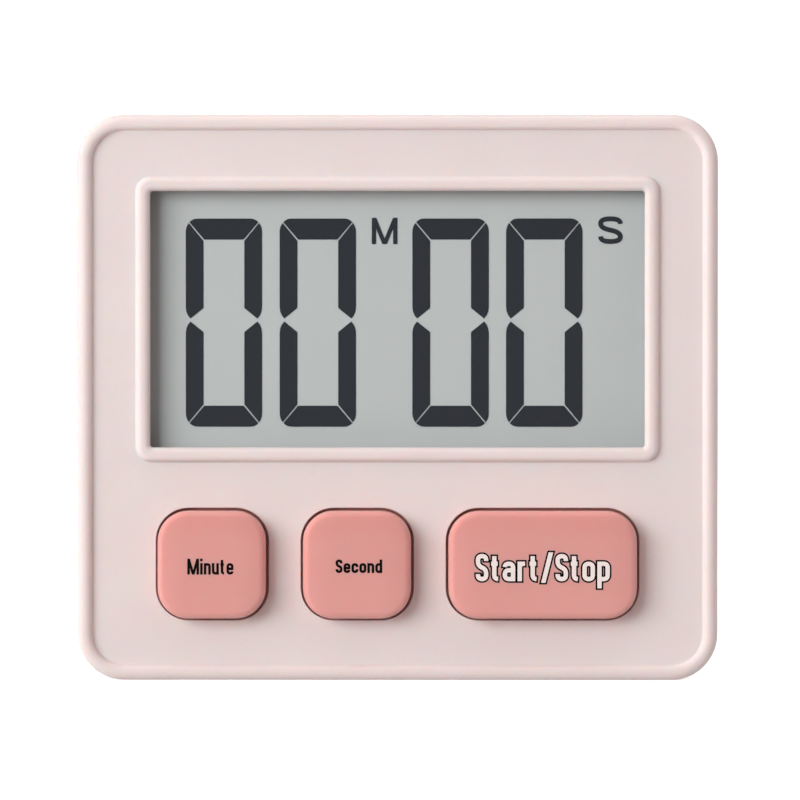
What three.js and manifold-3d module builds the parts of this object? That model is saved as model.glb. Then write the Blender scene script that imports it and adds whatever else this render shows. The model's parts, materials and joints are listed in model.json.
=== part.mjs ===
// Lab timer: a countdown timer for the bench, with a large liquid crystal display, three push
// buttons, a fold-out stand, two magnets in its back and a bay for one AAA cell.
//
// Millimetres. +X points right as the display is read, +Z points up, and the display faces -Y.
// The origin is in the middle of the bottom face. Depths are measured backwards from the crest
// of the front rim, and atDepth() turns a depth into a Y coordinate.

import * as THREE from "three";
import { mergeVertices } from "three/addons/utils/BufferGeometryUtils.js";
import Module from "manifold-3d";

const wasm = await Module();
wasm.setup();

// ---- Driving dimensions -------------------------------------------------------------------

// Case
const WIDTH = 85;
const HEIGHT = 75;
const CORNER_R = 6.2;
const WALL = 1.8;
const KEY_PROUD = 2.3; // the button crowns stand this far in front of the rim
const BACK = 19; // depth of the flat back
const PARTING = 9; // depth of the joint between the two shells
const RIM_WIDTH = 1.95;
const RIM_BEVEL = 0.6;
const BACK_BEVEL = 1.2;
const SUNK_FACE = 0.9; // depth of the face inside the rim
const FACE_BACK = 2.5; // depth of the inside of the face
const CLEARANCE = 0.3;
const PILOT_CLEARANCE = 0.15; // round a screw's shaft in its pilot hole
const EPS = 0.5; // how far a cutter or a joined block runs past a face
const ARC_STEPS = 3; // half the number of flats in a quarter of a round corner

// Display window
const WINDOW_Z = 47.9;
const OPENING = { width: 65.6, height: 34, radius: 0.4 };
const BEAD_WIDTH = 1.9;
const BEAD_R = 2;
const WINDOW_PANE = { margin: 1.7, front: 1.1, thickness: 0.7, radius: 1, gap: 0.15 };

// Display stack, front to back
const GLASS = { width: 69.6, bottom: 27.6, top: 67, thickness: 0.55 };
const POLARIZER = { inset: 1.6, thickness: 0.15 };
const REFLECTOR = { inset: 0.4, thickness: 0.3 };
const LEDGE_HEIGHT = 2.6; // strip of the front glass that the rear glass leaves free
const STACK_GAP = 0.1; // between the display stack and what is in front of it
const HOLDER = { wall: 1, gap: 0.2, back: 0.7, radius: 1, border: 2, topBorder: 1.8 };
const HOLDER_LEG = { x: 34.4, z: 40, width: 3, height: 4 };
const ZEBRA = { width: 64, height: 1.4, z: 29 };

// Buttons, left to right
const KEY_Z = 15.4;
const KEY_HEIGHT = 14.8;
const KEY_WIDTH = 14.85;
const WIDE_KEY_WIDTH = 25.5;
const KEY_GAP = 4.4;
const KEY_R = 4.3;
const KEY_CLEARANCE = 0.28;
const KEY_BEVEL = 1.4;
const KEY_WALL = 1.6;
const KEY_HOLLOW = -0.5; // depth of the hollow's floor, behind the crown
const FLANGE = { lip: 0.9, front: 2.6, back: 3.4 };
const STEM_R = 2.4;
const STEM_END = 4.2;
const DOME = { front: 4.3, shoulder: 5.3, pillEnd: 6.5, skirt: 7.2, rimR: 4.6, stemR: 2.4 };
const DOME_SKIN = { stem: 0.7, skirt: 1.2, hollow: 0.2 };
const PILL = { r: 1.5, thickness: 0.6 };

// Main board
const BOARD = { width: 70, bottom: 3.2, top: 47, front: 8.2, thickness: 1.2 };
const BOARD_BACK = BOARD.front + BOARD.thickness;
const EAR = { x: 37.2, z: 24, r: 1.9 };
const LOWER_BOARD_SCREW_Z = 4.9;
const BOARD_BOSS_R = 2;
const BOARD_SCREW = { shaftR: 0.75, headR: 1.4, headHeight: 0.9, tip: 5 };

// Parts on the board
const CHIP = { x: -2, z: 26, r: 6, height: 1.5 };
const CRYSTAL = { x: -16, z: 31, length: 6, r: 1 };
const SLEEVE_CAPACITOR = { x: -29, z: 36, r: 2, height: 5 };
const BLOCK_CAPACITOR = { x: 12, z: 30, width: 3.2, height: 1.6, thickness: 2.4 };
const RESISTOR = { x: 11.75, z: 36, length: 5.5, r: 0.9 };
const TRANSISTOR = { x: 25.6, z: 27.2, r: 2.3, height: 4.2, flat: 1.3 };
const INDUCTOR = { x: 29.5, z: 21, r: 2.2, height: 4.6 };
const LEAD_GAP = 0.1; // between the board and a part that lies on its leads

// Rear shell
const LIP = { thickness: 0.8, reach: 1, band: 1.5 };

// Case screws
const SCREW_X = 38.2;
const SCREW_INSET_Z = 4.3;
const FRONT_BOSS_R = 2.3;
const REAR_BOSS_R = 2.7;
const SEAT = 12.4; // depth of the shoulder under the screw heads
const CASE_SCREW = { shaftR: 0.9, headR: 1.65, headHeight: 1.5, tip: 5 };
const COUNTERBORE_R = 1.95;

// Battery bay
const CELL = { r: 5.25, length: 44.5, nubR: 1.9, nub: 1, positiveX: 24.2 };
const BAY = { width: 50.4, height: 11.7, wall: 0.9, frontWall: 0.8, z: 58.05, front: 6.7 };
const CELL_DEPTH = 12.1;
const CONTACT = { thickness: 0.4, size: 8.8, tail: 2, tailEnd: 49.6, gap: 0.1, dimpleR: 1.5 };
const SPRING = { wireR: 0.35, bigR: 3.6, smallR: 2.2, turns: 4 };
const DOOR = { width: 55.8, height: 15.6, z: 58, thickness: 1.1, radius: 1.5 };
const DOOR_REBATE = 1.2;
const DOOR_TAB = { width: 6, thickness: 0.8, end: 16.2, slotEnd: 14.2, gap: 0.2, x: 16 };
const LATCH = { width: 10, slit: 0.6, height: 5 };

// Stand
const STAND = { width: 40, foot: 4.5, thickness: 2.2, radius: 3 };
const HINGE = { z: 46.4, depth: 17.7, barrelR: 1.1, pinR: 0.8, pin: 1.2, socketR: 0.95 };
const RECESS = { floor: 16.4, gap: 0.35, topGap: 0.6, sideWall: 2.2, floorWall: 1.5, topWall: 1.6 };
const NAIL_NOTCH = { r: 5, z: 6.5, depth: 1.6 };

// Magnets and buzzer
const MAGNET = { r: 6, thickness: 2, x: 32, z: 14, gap: 0.2 };
const MAGNET_CUP_R = 7.4;
const BUZZER = { x: 31.3, z: 34, brassR: 7.5, ceramicR: 5, thickness: 0.3, seat: 15.9 };
const BUZZER_SEAT = { wall: 0.9, ledge: 0.6 };
const SOUND_HOLES = { r: 0.8, ring: 3.2, count: 6 };

// Wires, with the places of their pads on the board
const WIRE_R = 0.4;
const WIRE_RISE = 1.5; // straight stretch of a wire at each of its ends
const BATTERY_PAD = { x: 21, below: 3 };
const BATTERY_WIRE = { sag: 1.4, forward: 0.6 };
const BUZZER_WIRE = { climb: 5, lift: 2.8, redPad: 29, blackPad: 31, blackX: 1.5, blackBelow: 6 };

// ---- Derived places -----------------------------------------------------------------------

const FRONT_OFFSET = (BACK - KEY_PROUD) / 2;
const KEYS = placeKeys();
const SCREW_PLACES = [-1, 1].flatMap((side) =>
  [SCREW_INSET_Z, HEIGHT - SCREW_INSET_Z].map((z) => ({ x: side * SCREW_X, z })),
);
const BOARD_SCREW_PLACES = placeBoardScrews();
const PANE_BACK = WINDOW_PANE.front + WINDOW_PANE.thickness;
const STACK_FRONT = PANE_BACK + STACK_GAP;
const GLASS_FRONT = STACK_FRONT + POLARIZER.thickness;
const REAR_GLASS_FRONT = GLASS_FRONT + GLASS.thickness;
const REFLECTOR_FRONT = REAR_GLASS_FRONT + GLASS.thickness;
const STACK_BACK = REFLECTOR_FRONT + REFLECTOR.thickness;
const GLASS_Z = (GLASS.bottom + GLASS.top) / 2;
const GLASS_HEIGHT = GLASS.top - GLASS.bottom;
const HOLDER_FRONT = FACE_BACK + STACK_GAP;

// The three buttons fill a row that is centred across the case.
function placeKeys() {
  const widths = { minute: KEY_WIDTH, second: KEY_WIDTH, start_stop: WIDE_KEY_WIDTH };
  const total = KEY_WIDTH * 2 + WIDE_KEY_WIDTH + KEY_GAP * 2;
  let left = -total / 2;
  return Object.entries(widths).map(([name, width]) => {
    const key = { name, width, x: left + width / 2 };
    left += width + KEY_GAP;
    return key;
  });
}

// Two screws hold the board below the gaps between the buttons, and two hold its ears.
function placeBoardScrews() {
  const below = [0, 1].map((i) => ({
    x: (KEYS[i].x + KEYS[i].width / 2 + KEYS[i + 1].x - KEYS[i + 1].width / 2) / 2,
    z: LOWER_BOARD_SCREW_Z,
  }));
  return [...below, { x: -EAR.x, z: EAR.z }, { x: EAR.x, z: EAR.z }];
}

// ---- Solids -------------------------------------------------------------------------------

function atDepth(depth) {
  return depth - FRONT_OFFSET;
}

function solid(geometry) {
  geometry.deleteAttribute("normal");
  geometry.deleteAttribute("uv");
  const merged = mergeVertices(geometry, 1e-4);
  return new wasm.Manifold(
    new wasm.Mesh({
      numProp: 3,
      vertProperties: merged.getAttribute("position").array,
      triVerts: new Uint32Array(merged.index.array),
    }),
  );
}

// A rectangle with round corners in the X-Z plane, by its middle and its size.
function roundRect(x, z, width, height, radius) {
  const dx = width / 2 - radius;
  const dz = height / 2 - radius;
  const quarter = Math.PI / 2;
  const shape = new THREE.Shape();
  shape.absarc(x + dx, z - dz, radius, -quarter, 0);
  shape.absarc(x + dx, z + dz, radius, 0, quarter);
  shape.absarc(x - dx, z + dz, radius, quarter, 2 * quarter);
  shape.absarc(x - dx, z - dz, radius, 2 * quarter, 3 * quarter);
  shape.closePath();
  return shape;
}

// The outline of the case, drawn in by an inset.
function caseOutline(inset) {
  return roundRect(0, HEIGHT / 2, WIDTH - 2 * inset, HEIGHT - 2 * inset, CORNER_R - inset);
}

// A shape in the X-Z plane, made solid between two depths, with both of its ends bevelled.
function prism(shape, front, back, bevel = 0) {
  const geometry = new THREE.ExtrudeGeometry(shape, {
    depth: back - front - 2 * bevel,
    curveSegments: ARC_STEPS,
    bevelEnabled: bevel > 0,
    bevelThickness: bevel,
    bevelSize: bevel,
    bevelOffset: -bevel,
    bevelSegments: 2,
  });
  geometry.rotateX(Math.PI / 2);
  geometry.translate(0, atDepth(back) - bevel, 0);
  return solid(geometry);
}

// A block between two depths, by its middle and its size across and up.
function block(x, z, width, height, front, back) {
  const geometry = new THREE.BoxGeometry(width, back - front, height);
  geometry.translate(x, atDepth((front + back) / 2), z);
  return solid(geometry);
}

// A cylinder that runs from front to back.
function disc(x, z, radius, front, back, sides = 20) {
  const geometry = new THREE.CylinderGeometry(radius, radius, back - front, sides);
  geometry.translate(x, atDepth((front + back) / 2), z);
  return solid(geometry);
}

// A cylinder that runs across the case.
function rod(x0, x1, depth, z, radius, sides = 16) {
  const geometry = new THREE.CylinderGeometry(radius, radius, x1 - x0, sides);
  geometry.rotateZ(Math.PI / 2);
  geometry.translate((x0 + x1) / 2, atDepth(depth), z);
  return solid(geometry);
}

// A turned piece whose profile runs from the axis back to the axis, as [radius, depth] pairs.
function turned(x, z, profile, sides = 16) {
  const points = profile.map(([radius, depth]) => new THREE.Vector2(radius, atDepth(depth)));
  const geometry = new THREE.LatheGeometry(points, sides);
  geometry.translate(x, 0, z);
  return solid(geometry);
}

// A round wire along a curve.
function wire(curve, radius, steps, sides = 8) {
  const section = new THREE.Shape();
  section.absarc(0, 0, radius, 0, 2 * Math.PI);
  const geometry = new THREE.ExtrudeGeometry(section, {
    curveSegments: sides / 2,
    steps,
    extrudePath: curve,
  });
  return solid(geometry);
}

function joined(first, ...rest) {
  return rest.reduce((whole, piece) => whole.add(piece), first);
}

function cut(whole, ...cutters) {
  return cutters.reduce((left, cutter) => left.subtract(cutter), whole);
}

// ---- Materials ----------------------------------------------------------------------------

function material(color, roughness, metalness = 0) {
  return new THREE.MeshStandardMaterial({ color, roughness, metalness });
}

const MATERIALS = {
  shell: material(0xece0dc, 0.5),
  key: material(0xde9b94, 0.45),
  clear: material(0xdde6e6, 0.05),
  glass: material(0xc8d4d0, 0.05),
  polarizer: material(0x9aa39c, 0.3),
  reflector: material(0xbcc0b8, 0.4),
  holder: material(0xe4e4e0, 0.6),
  zebra: material(0xd890a0, 0.8),
  board: material(0x2f6b3c, 0.5),
  epoxy: material(0x15161a, 0.4),
  steel: material(0xc2c4c8, 0.3, 1),
  silicone: material(0xd6d8d6, 0.7),
  carbon: material(0x1c1c1e, 0.9),
  capacitor: material(0x28324a, 0.4),
  resistor: material(0xc9b08a, 0.6),
  ferrite: material(0x3a3a3c, 0.7),
  cell: material(0x2c6f86, 0.35),
  brass: material(0xc9a55a, 0.3, 1),
  ceramic: material(0xdcdcd8, 0.5),
  redWire: material(0xb5302a, 0.5),
  blackWire: material(0x222224, 0.5),
};

// ---- Case ---------------------------------------------------------------------------------

function keyHoles() {
  return KEYS.map((key) =>
    prism(roundRect(key.x, KEY_Z, key.width, KEY_HEIGHT, KEY_R), -EPS, FACE_BACK + EPS),
  );
}

// The outline of the window pane, grown all round.
function paneOutline(grow = 0) {
  const around = 2 * (WINDOW_PANE.margin + grow);
  const { width, height } = OPENING;
  return roundRect(0, WINDOW_Z, width + around, height + around, WINDOW_PANE.radius);
}

// The room for the front glass, with a gap all round it.
function glassSeat(front, back) {
  const around = 2 * HOLDER.gap;
  return block(0, GLASS_Z, GLASS.width + around, GLASS_HEIGHT + around, front, back);
}

function frontShell() {
  const body = prism(caseOutline(0), 0, PARTING + 2 * RIM_BEVEL, RIM_BEVEL);
  const beyond = block(0, HEIGHT / 2, WIDTH * 2, HEIGHT * 2, PARTING, BACK);
  const inside = prism(caseOutline(WALL), FACE_BACK, PARTING + EPS);
  const bead = roundRect(
    0,
    WINDOW_Z,
    OPENING.width + 2 * BEAD_WIDTH,
    OPENING.height + 2 * BEAD_WIDTH,
    BEAD_R,
  );
  const sunk = prism(caseOutline(RIM_WIDTH), -EPS, SUNK_FACE).subtract(
    prism(bead, 0, SUNK_FACE + 2 * EPS, RIM_BEVEL / 2),
  );
  const opening = prism(
    roundRect(0, WINDOW_Z, OPENING.width, OPENING.height, OPENING.radius),
    -2 * EPS,
    FACE_BACK + EPS,
  );
  const paneSeat = prism(paneOutline(WINDOW_PANE.gap), WINDOW_PANE.front, FACE_BACK + EPS);
  const glassRoom = glassSeat(GLASS_FRONT - STACK_GAP, FACE_BACK + EPS);
  const caseBosses = SCREW_PLACES.map(({ x, z }) =>
    disc(x, z, FRONT_BOSS_R, FACE_BACK - EPS, PARTING),
  );
  const boardBosses = BOARD_SCREW_PLACES.map(({ x, z }) =>
    disc(x, z, BOARD_BOSS_R, FACE_BACK - EPS, BOARD.front),
  );
  const casePilots = SCREW_PLACES.map(({ x, z }) =>
    disc(x, z, CASE_SCREW.shaftR + PILOT_CLEARANCE, CASE_SCREW.tip - EPS, PARTING + EPS, 12),
  );
  const boardPilotR = BOARD_SCREW.shaftR + PILOT_CLEARANCE;
  const boardPilots = BOARD_SCREW_PLACES.map(({ x, z }) =>
    disc(x, z, boardPilotR, BOARD_SCREW.tip - EPS, BOARD.front + EPS, 12),
  );
  const hollow = cut(body, beyond, inside, sunk, opening, paneSeat, glassRoom, ...keyHoles());
  return cut(joined(hollow, ...caseBosses, ...boardBosses), ...casePilots, ...boardPilots);
}

// The lip that centres the rear shell inside the front one, with room for the front bosses.
function rearLip() {
  const outer = WALL + CLEARANCE;
  const inner = outer + LIP.thickness;
  const front = PARTING - LIP.reach;
  const back = PARTING + LIP.band;
  const through = prism(caseOutline(inner), front - EPS, back + EPS);
  const ring = prism(caseOutline(outer), front, PARTING + EPS).subtract(through);
  const band = prism(caseOutline(WALL - EPS), PARTING, back).subtract(through);
  const roomFor = (radius) => (place) =>
    disc(place.x, place.z, radius + CLEARANCE, front - EPS, PARTING);
  return cut(
    joined(ring, band),
    ...SCREW_PLACES.map(roomFor(FRONT_BOSS_R)),
    ...BOARD_SCREW_PLACES.map(roomFor(BOARD_BOSS_R)),
  );
}

// The bay that holds the cell, a box that opens through the back.
function batteryBay() {
  const wall = BAY.wall;
  return block(
    0,
    BAY.z,
    BAY.width + 2 * wall,
    BAY.height + 2 * wall,
    BAY.front - BAY.frontWall,
    BACK - WALL + EPS,
  );
}

function batteryBayCuts() {
  const rebate = prism(
    roundRect(
      0,
      DOOR.z,
      DOOR.width + 2 * CLEARANCE,
      DOOR.height + 2 * CLEARANCE,
      DOOR.radius + CLEARANCE,
    ),
    BACK - DOOR_REBATE,
    BACK + EPS,
  );
  const inside = block(0, BAY.z, BAY.width, BAY.height, BAY.front, BACK);
  const tabSlots = doorTabs(CLEARANCE, DOOR_TAB.slotEnd);
  const tailSlots = [-1, 1].map((side) =>
    block(
      side * (BAY.width / 2 - CONTACT.thickness),
      BAY.z - BAY.height / 2,
      2 * CONTACT.thickness,
      4 * BAY.wall,
      CELL_DEPTH - CONTACT.tail / 2 - CLEARANCE,
      CELL_DEPTH + CONTACT.tail / 2 + CLEARANCE,
    ),
  );
  return [rebate, inside, ...tabSlots, ...tailSlots];
}

// The recess that the stand folds into, in a pocket that stands in from the back wall.
function standPocket() {
  const width = STAND.width + 2 * (RECESS.gap + RECESS.sideWall);
  const top = HINGE.z + HINGE.barrelR + RECESS.topGap + RECESS.topWall;
  const bottom = WALL / 2;
  const front = RECESS.floor - RECESS.floorWall;
  return block(0, (bottom + top) / 2, width, top - bottom, front, BACK - EPS);
}

function standPocketCuts() {
  const bottom = STAND.foot - RECESS.gap;
  const top = HINGE.z + HINGE.barrelR + RECESS.topGap;
  const width = STAND.width + 2 * RECESS.gap;
  const recess = block(0, (bottom + top) / 2, width, top - bottom, RECESS.floor, BACK + EPS);
  const reach = width / 2 + HINGE.pin + CLEARANCE;
  const sockets = rod(-reach, reach, HINGE.depth, HINGE.z, HINGE.socketR);
  const notch = disc(0, NAIL_NOTCH.z, NAIL_NOTCH.r, BACK - NAIL_NOTCH.depth, BACK + EPS);
  return [recess, sockets, notch];
}

function soundHoles() {
  const holes = [{ x: BUZZER.x, z: BUZZER.z }];
  for (let i = 0; i < SOUND_HOLES.count; i++) {
    const angle = (2 * Math.PI * i) / SOUND_HOLES.count;
    holes.push({
      x: BUZZER.x + SOUND_HOLES.ring * Math.cos(angle),
      z: BUZZER.z + SOUND_HOLES.ring * Math.sin(angle),
    });
  }
  return holes.map(({ x, z }) =>
    disc(x, z, SOUND_HOLES.r, BACK - WALL - EPS, BACK + EPS, 12),
  );
}

function rearShell() {
  const body = prism(caseOutline(0), PARTING - 2 * BACK_BEVEL, BACK, BACK_BEVEL);
  const beyond = block(0, HEIGHT / 2, WIDTH * 2, HEIGHT * 2, -EPS, PARTING);
  const inside = prism(caseOutline(WALL), PARTING - EPS, BACK - WALL);
  const bosses = SCREW_PLACES.map(({ x, z }) =>
    disc(x, z, REAR_BOSS_R, PARTING, BACK - WALL + EPS),
  );
  const cups = [-1, 1].map((side) =>
    disc(side * MAGNET.x, MAGNET.z, MAGNET_CUP_R, BACK - MAGNET.thickness - WALL, BACK - WALL + EPS),
  );
  const buzzerSeatR = BUZZER.brassR + BUZZER_SEAT.wall;
  const buzzerSeat = disc(BUZZER.x, BUZZER.z, buzzerSeatR, BUZZER.seat, BACK - WALL + EPS);
  const shell = joined(
    cut(body, beyond, inside),
    ...bosses,
    ...cups,
    buzzerSeat,
    batteryBay(),
    standPocket(),
    rearLip(),
  );
  return cut(
    shell,
    ...batteryBayCuts(),
    ...standPocketCuts(),
    ...SCREW_PLACES.map(({ x, z }) => disc(x, z, CASE_SCREW.shaftR + CLEARANCE, 0, BACK, 12)),
    ...SCREW_PLACES.map(({ x, z }) => disc(x, z, COUNTERBORE_R, SEAT, BACK + EPS)),
    ...[-1, 1].map((side) =>
      disc(side * MAGNET.x, MAGNET.z, MAGNET.r + MAGNET.gap, BACK - MAGNET.thickness, BACK + EPS),
    ),
    disc(BUZZER.x, BUZZER.z, BUZZER.brassR - BUZZER_SEAT.ledge, BUZZER.seat - EPS, BACK - WALL),
    ...soundHoles(),
  );
}

function caseScrew({ x, z }) {
  return joined(
    disc(x, z, CASE_SCREW.headR, SEAT, SEAT + CASE_SCREW.headHeight, 16),
    disc(x, z, CASE_SCREW.shaftR, CASE_SCREW.tip, SEAT + EPS, 12),
  );
}

function magnet(side) {
  return disc(side * MAGNET.x, MAGNET.z, MAGNET.r, BACK - MAGNET.thickness, BACK, 32);
}

// ---- Display ------------------------------------------------------------------------------

function windowPane() {
  return prism(paneOutline(), WINDOW_PANE.front, PANE_BACK);
}

// A sheet of the display stack. Its bottom edge can be raised to leave the contact ledge free.
function stackSheet(inset, raised, front, thickness) {
  const height = GLASS_HEIGHT - 2 * inset - raised;
  const z = GLASS_Z + raised / 2;
  return block(0, z, GLASS.width - 2 * inset, height, front, front + thickness);
}

function lcdHolder() {
  const { wall, gap, radius, border, topBorder } = HOLDER;
  const around = 2 * (gap + wall);
  const outline = roundRect(0, GLASS_Z, GLASS.width + around, GLASS_HEIGHT + around, radius);
  const floor = STACK_BACK + gap;
  const back = floor + HOLDER.back;
  const bottom = GLASS.bottom + 2 * gap;
  const top = GLASS.top - topBorder;
  const legs = [-1, 1].map((side) =>
    block(
      side * HOLDER_LEG.x,
      HOLDER_LEG.z,
      HOLDER_LEG.width,
      HOLDER_LEG.height,
      floor,
      BOARD.front,
    ),
  );
  const frame = joined(prism(outline, HOLDER_FRONT, back), ...legs);
  const pocket = glassSeat(STACK_FRONT - EPS, floor);
  const rearOpening = block(
    0,
    (bottom + top) / 2,
    GLASS.width - 2 * border,
    top - bottom,
    floor - EPS,
    back + EPS,
  );
  return cut(frame, pocket, rearOpening);
}

function zebraStrip() {
  return block(0, ZEBRA.z, ZEBRA.width, ZEBRA.height, REAR_GLASS_FRONT, BOARD.front);
}

// ---- Buttons ------------------------------------------------------------------------------

// A hollow cap whose flange stops behind the face, with a stem that presses on the dome.
function keyCap(key) {
  const width = key.width - 2 * KEY_CLEARANCE;
  const height = KEY_HEIGHT - 2 * KEY_CLEARANCE;
  const radius = KEY_R - KEY_CLEARANCE;
  const outline = (grow) =>
    roundRect(key.x, KEY_Z, width + 2 * grow, height + 2 * grow, radius + grow);
  const cap = prism(outline(0), -KEY_PROUD, FLANGE.back + 2 * KEY_BEVEL, KEY_BEVEL);
  const beyond = block(key.x, KEY_Z, WIDTH, HEIGHT, FLANGE.back, BACK);
  const flange = prism(outline(FLANGE.lip), FLANGE.front, FLANGE.back);
  const hollow = prism(outline(-KEY_WALL), KEY_HOLLOW, FLANGE.back + EPS);
  const stem = disc(key.x, KEY_Z, STEM_R, KEY_HOLLOW - EPS, STEM_END);
  return joined(cut(joined(cut(cap, beyond), flange), hollow), stem);
}

// A silicone dome: a stem on a thin cone that stands on the board.
function dome(key) {
  const { front, shoulder, pillEnd, skirt, rimR, stemR } = DOME;
  const foot = rimR - DOME_SKIN.skirt;
  return turned(key.x, KEY_Z, [
    [0, front],
    [stemR, front],
    [stemR, shoulder],
    [rimR, skirt],
    [rimR, BOARD.front],
    [foot, BOARD.front],
    [foot, skirt + DOME_SKIN.hollow],
    [stemR - DOME_SKIN.stem, pillEnd],
    [0, pillEnd],
  ]);
}

function carbonPill(key) {
  return disc(key.x, KEY_Z, PILL.r, DOME.pillEnd, DOME.pillEnd + PILL.thickness, 16);
}

// ---- Board --------------------------------------------------------------------------------

function mainBoard() {
  const z = (BOARD.bottom + BOARD.top) / 2;
  const sheet = block(0, z, BOARD.width, BOARD.top - BOARD.bottom, BOARD.front, BOARD_BACK);
  const ears = [-1, 1].flatMap((side) => [
    disc(side * EAR.x, EAR.z, EAR.r, BOARD.front, BOARD_BACK),
    block(side * (EAR.x - 0.8 * EAR.r), EAR.z, 1.6 * EAR.r, 2 * EAR.r, BOARD.front, BOARD_BACK),
  ]);
  const holeR = BOARD_SCREW.shaftR + CLEARANCE;
  const holes = BOARD_SCREW_PLACES.map(({ x, z: holeZ }) =>
    disc(x, holeZ, holeR, BOARD.front - EPS, BOARD_BACK + EPS, 12),
  );
  return cut(joined(sheet, ...ears), ...holes);
}

function boardScrew({ x, z }) {
  return joined(
    disc(x, z, BOARD_SCREW.headR, BOARD_BACK, BOARD_BACK + BOARD_SCREW.headHeight, 16),
    disc(x, z, BOARD_SCREW.shaftR, BOARD_SCREW.tip, BOARD_BACK + EPS, 12),
  );
}

// The drop of resin that covers the bare chip.
function chipBlob() {
  const profile = [[0, BOARD_BACK]];
  const steps = 5;
  for (let i = 0; i <= steps; i++) {
    const angle = (Math.PI / 2) * (i / steps);
    const r = i === steps ? 0 : CHIP.r * Math.cos(angle);
    profile.push([r, BOARD_BACK + CHIP.height * Math.sin(angle)]);
  }
  return turned(CHIP.x, CHIP.z, profile);
}

// A cylinder that stands on the board.
function upright({ x, z, r, height }) {
  return disc(x, z, r, BOARD_BACK, BOARD_BACK + height);
}

// A cylinder that lies along the board on its leads.
function lying({ x, z, r, length }) {
  return rod(x - length / 2, x + length / 2, BOARD_BACK + r + LEAD_GAP, z, r, 12);
}

function blockCapacitor() {
  const { x, z, width, height, thickness } = BLOCK_CAPACITOR;
  return block(x, z, width, height, BOARD_BACK, BOARD_BACK + thickness);
}

function transistor() {
  const { x, z, r, flat } = TRANSISTOR;
  return cut(upright(TRANSISTOR), block(x, z + flat + r / 2, 2 * r + EPS, r, 0, BACK));
}

// ---- Power --------------------------------------------------------------------------------

// A cylinder cell with its positive nub towards +X.
function batteryCell() {
  const { r, length, nubR, nub, positiveX } = CELL;
  const start = positiveX - length;
  const shoulder = positiveX - nub;
  return joined(
    rod(start, shoulder, CELL_DEPTH, BAY.z, r, 32),
    rod(shoulder - EPS, positiveX, CELL_DEPTH, BAY.z, nubR, 16),
  );
}

// A square contact plate against an end wall of the bay, with a tail that leaves below.
function contactPlate(side) {
  const middle = side * (BAY.width / 2 - CONTACT.gap - CONTACT.thickness / 2);
  const half = CONTACT.size / 2;
  const plate = block(
    middle,
    BAY.z,
    CONTACT.thickness,
    CONTACT.size,
    CELL_DEPTH - half,
    CELL_DEPTH + half,
  );
  const tailTop = BAY.z - half + EPS;
  const tail = block(
    middle,
    (tailTop + CONTACT.tailEnd) / 2,
    CONTACT.thickness,
    tailTop - CONTACT.tailEnd,
    CELL_DEPTH - CONTACT.tail / 2,
    CELL_DEPTH + CONTACT.tail / 2,
  );
  return plate.add(tail);
}

// The centre line of the conical spring, from the contact plate to the cell.
class ConicalSpring extends THREE.Curve {
  getPoint(t, target = new THREE.Vector3()) {
    const from = CONTACT.thickness + SPRING.wireR - BAY.width / 2;
    const to = CELL.positiveX - CELL.length - SPRING.wireR - CONTACT.gap;
    const angle = 2 * Math.PI * SPRING.turns * t;
    const radius = SPRING.bigR + (SPRING.smallR - SPRING.bigR) * t;
    return target.set(
      from + (to - from) * t,
      atDepth(CELL_DEPTH) + radius * Math.cos(angle),
      BAY.z + radius * Math.sin(angle),
    );
  }
}

function batterySpring() {
  return contactPlate(-1).add(wire(new ConicalSpring(), SPRING.wireR, 48, 6));
}

function positivePlate() {
  const from = CELL.positiveX + CONTACT.gap;
  const to = BAY.width / 2 - CONTACT.thickness;
  const dimple = rod(from, to, CELL_DEPTH, BAY.z, CONTACT.dimpleR, 12);
  return contactPlate(1).add(dimple);
}

// ---- Battery door -------------------------------------------------------------------------

// Two locating tabs at the door's top edge and the latch's tab at its bottom edge. A grown set
// cuts their slots.
function doorTabs(grow = 0, end = DOOR_TAB.end) {
  const top = DOOR.z + DOOR.height / 2 - DOOR_TAB.thickness / 2;
  const bottom = DOOR.z - DOOR.height / 2 + DOOR_TAB.thickness / 2;
  const places = [
    { x: -DOOR_TAB.x, z: top },
    { x: DOOR_TAB.x, z: top },
    { x: 0, z: bottom },
  ];
  return places.map(({ x, z }) =>
    block(
      x,
      z,
      DOOR_TAB.width + 2 * grow,
      DOOR_TAB.thickness + 2 * Math.min(grow, DOOR_TAB.gap),
      end,
      BACK - DOOR.thickness / 2,
    ),
  );
}

function batteryDoor() {
  const outline = roundRect(0, DOOR.z, DOOR.width, DOOR.height, DOOR.radius);
  const plate = prism(outline, BACK - DOOR.thickness, BACK);
  const bottom = DOOR.z - DOOR.height / 2;
  const slits = [-1, 1].map((side) =>
    block(
      side * (LATCH.width / 2 + LATCH.slit / 2),
      bottom + LATCH.height / 2 - EPS,
      LATCH.slit,
      LATCH.height + EPS,
      0,
      BACK + EPS,
    ),
  );
  return joined(cut(plate, ...slits), ...doorTabs());
}

// ---- Stand --------------------------------------------------------------------------------

function stand() {
  const height = HINGE.z - STAND.foot;
  const front = BACK - STAND.thickness;
  const outline = roundRect(
    0,
    STAND.foot + height / 2 + STAND.radius / 2,
    STAND.width,
    height + STAND.radius,
    STAND.radius,
  );
  const above = block(0, HINGE.z + STAND.radius, WIDTH, 2 * STAND.radius, 0, BACK + EPS);
  const half = STAND.width / 2;
  const reach = half + RECESS.gap + HINGE.pin;
  return joined(
    cut(prism(outline, front, BACK), above),
    rod(-half, half, HINGE.depth, HINGE.z, HINGE.barrelR, 24),
    rod(-reach, reach, HINGE.depth, HINGE.z, HINGE.pinR),
  );
}

// ---- Buzzer and wires ---------------------------------------------------------------------

function buzzerBrass() {
  return disc(BUZZER.x, BUZZER.z, BUZZER.brassR, BUZZER.seat - BUZZER.thickness, BUZZER.seat, 32);
}

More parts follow.
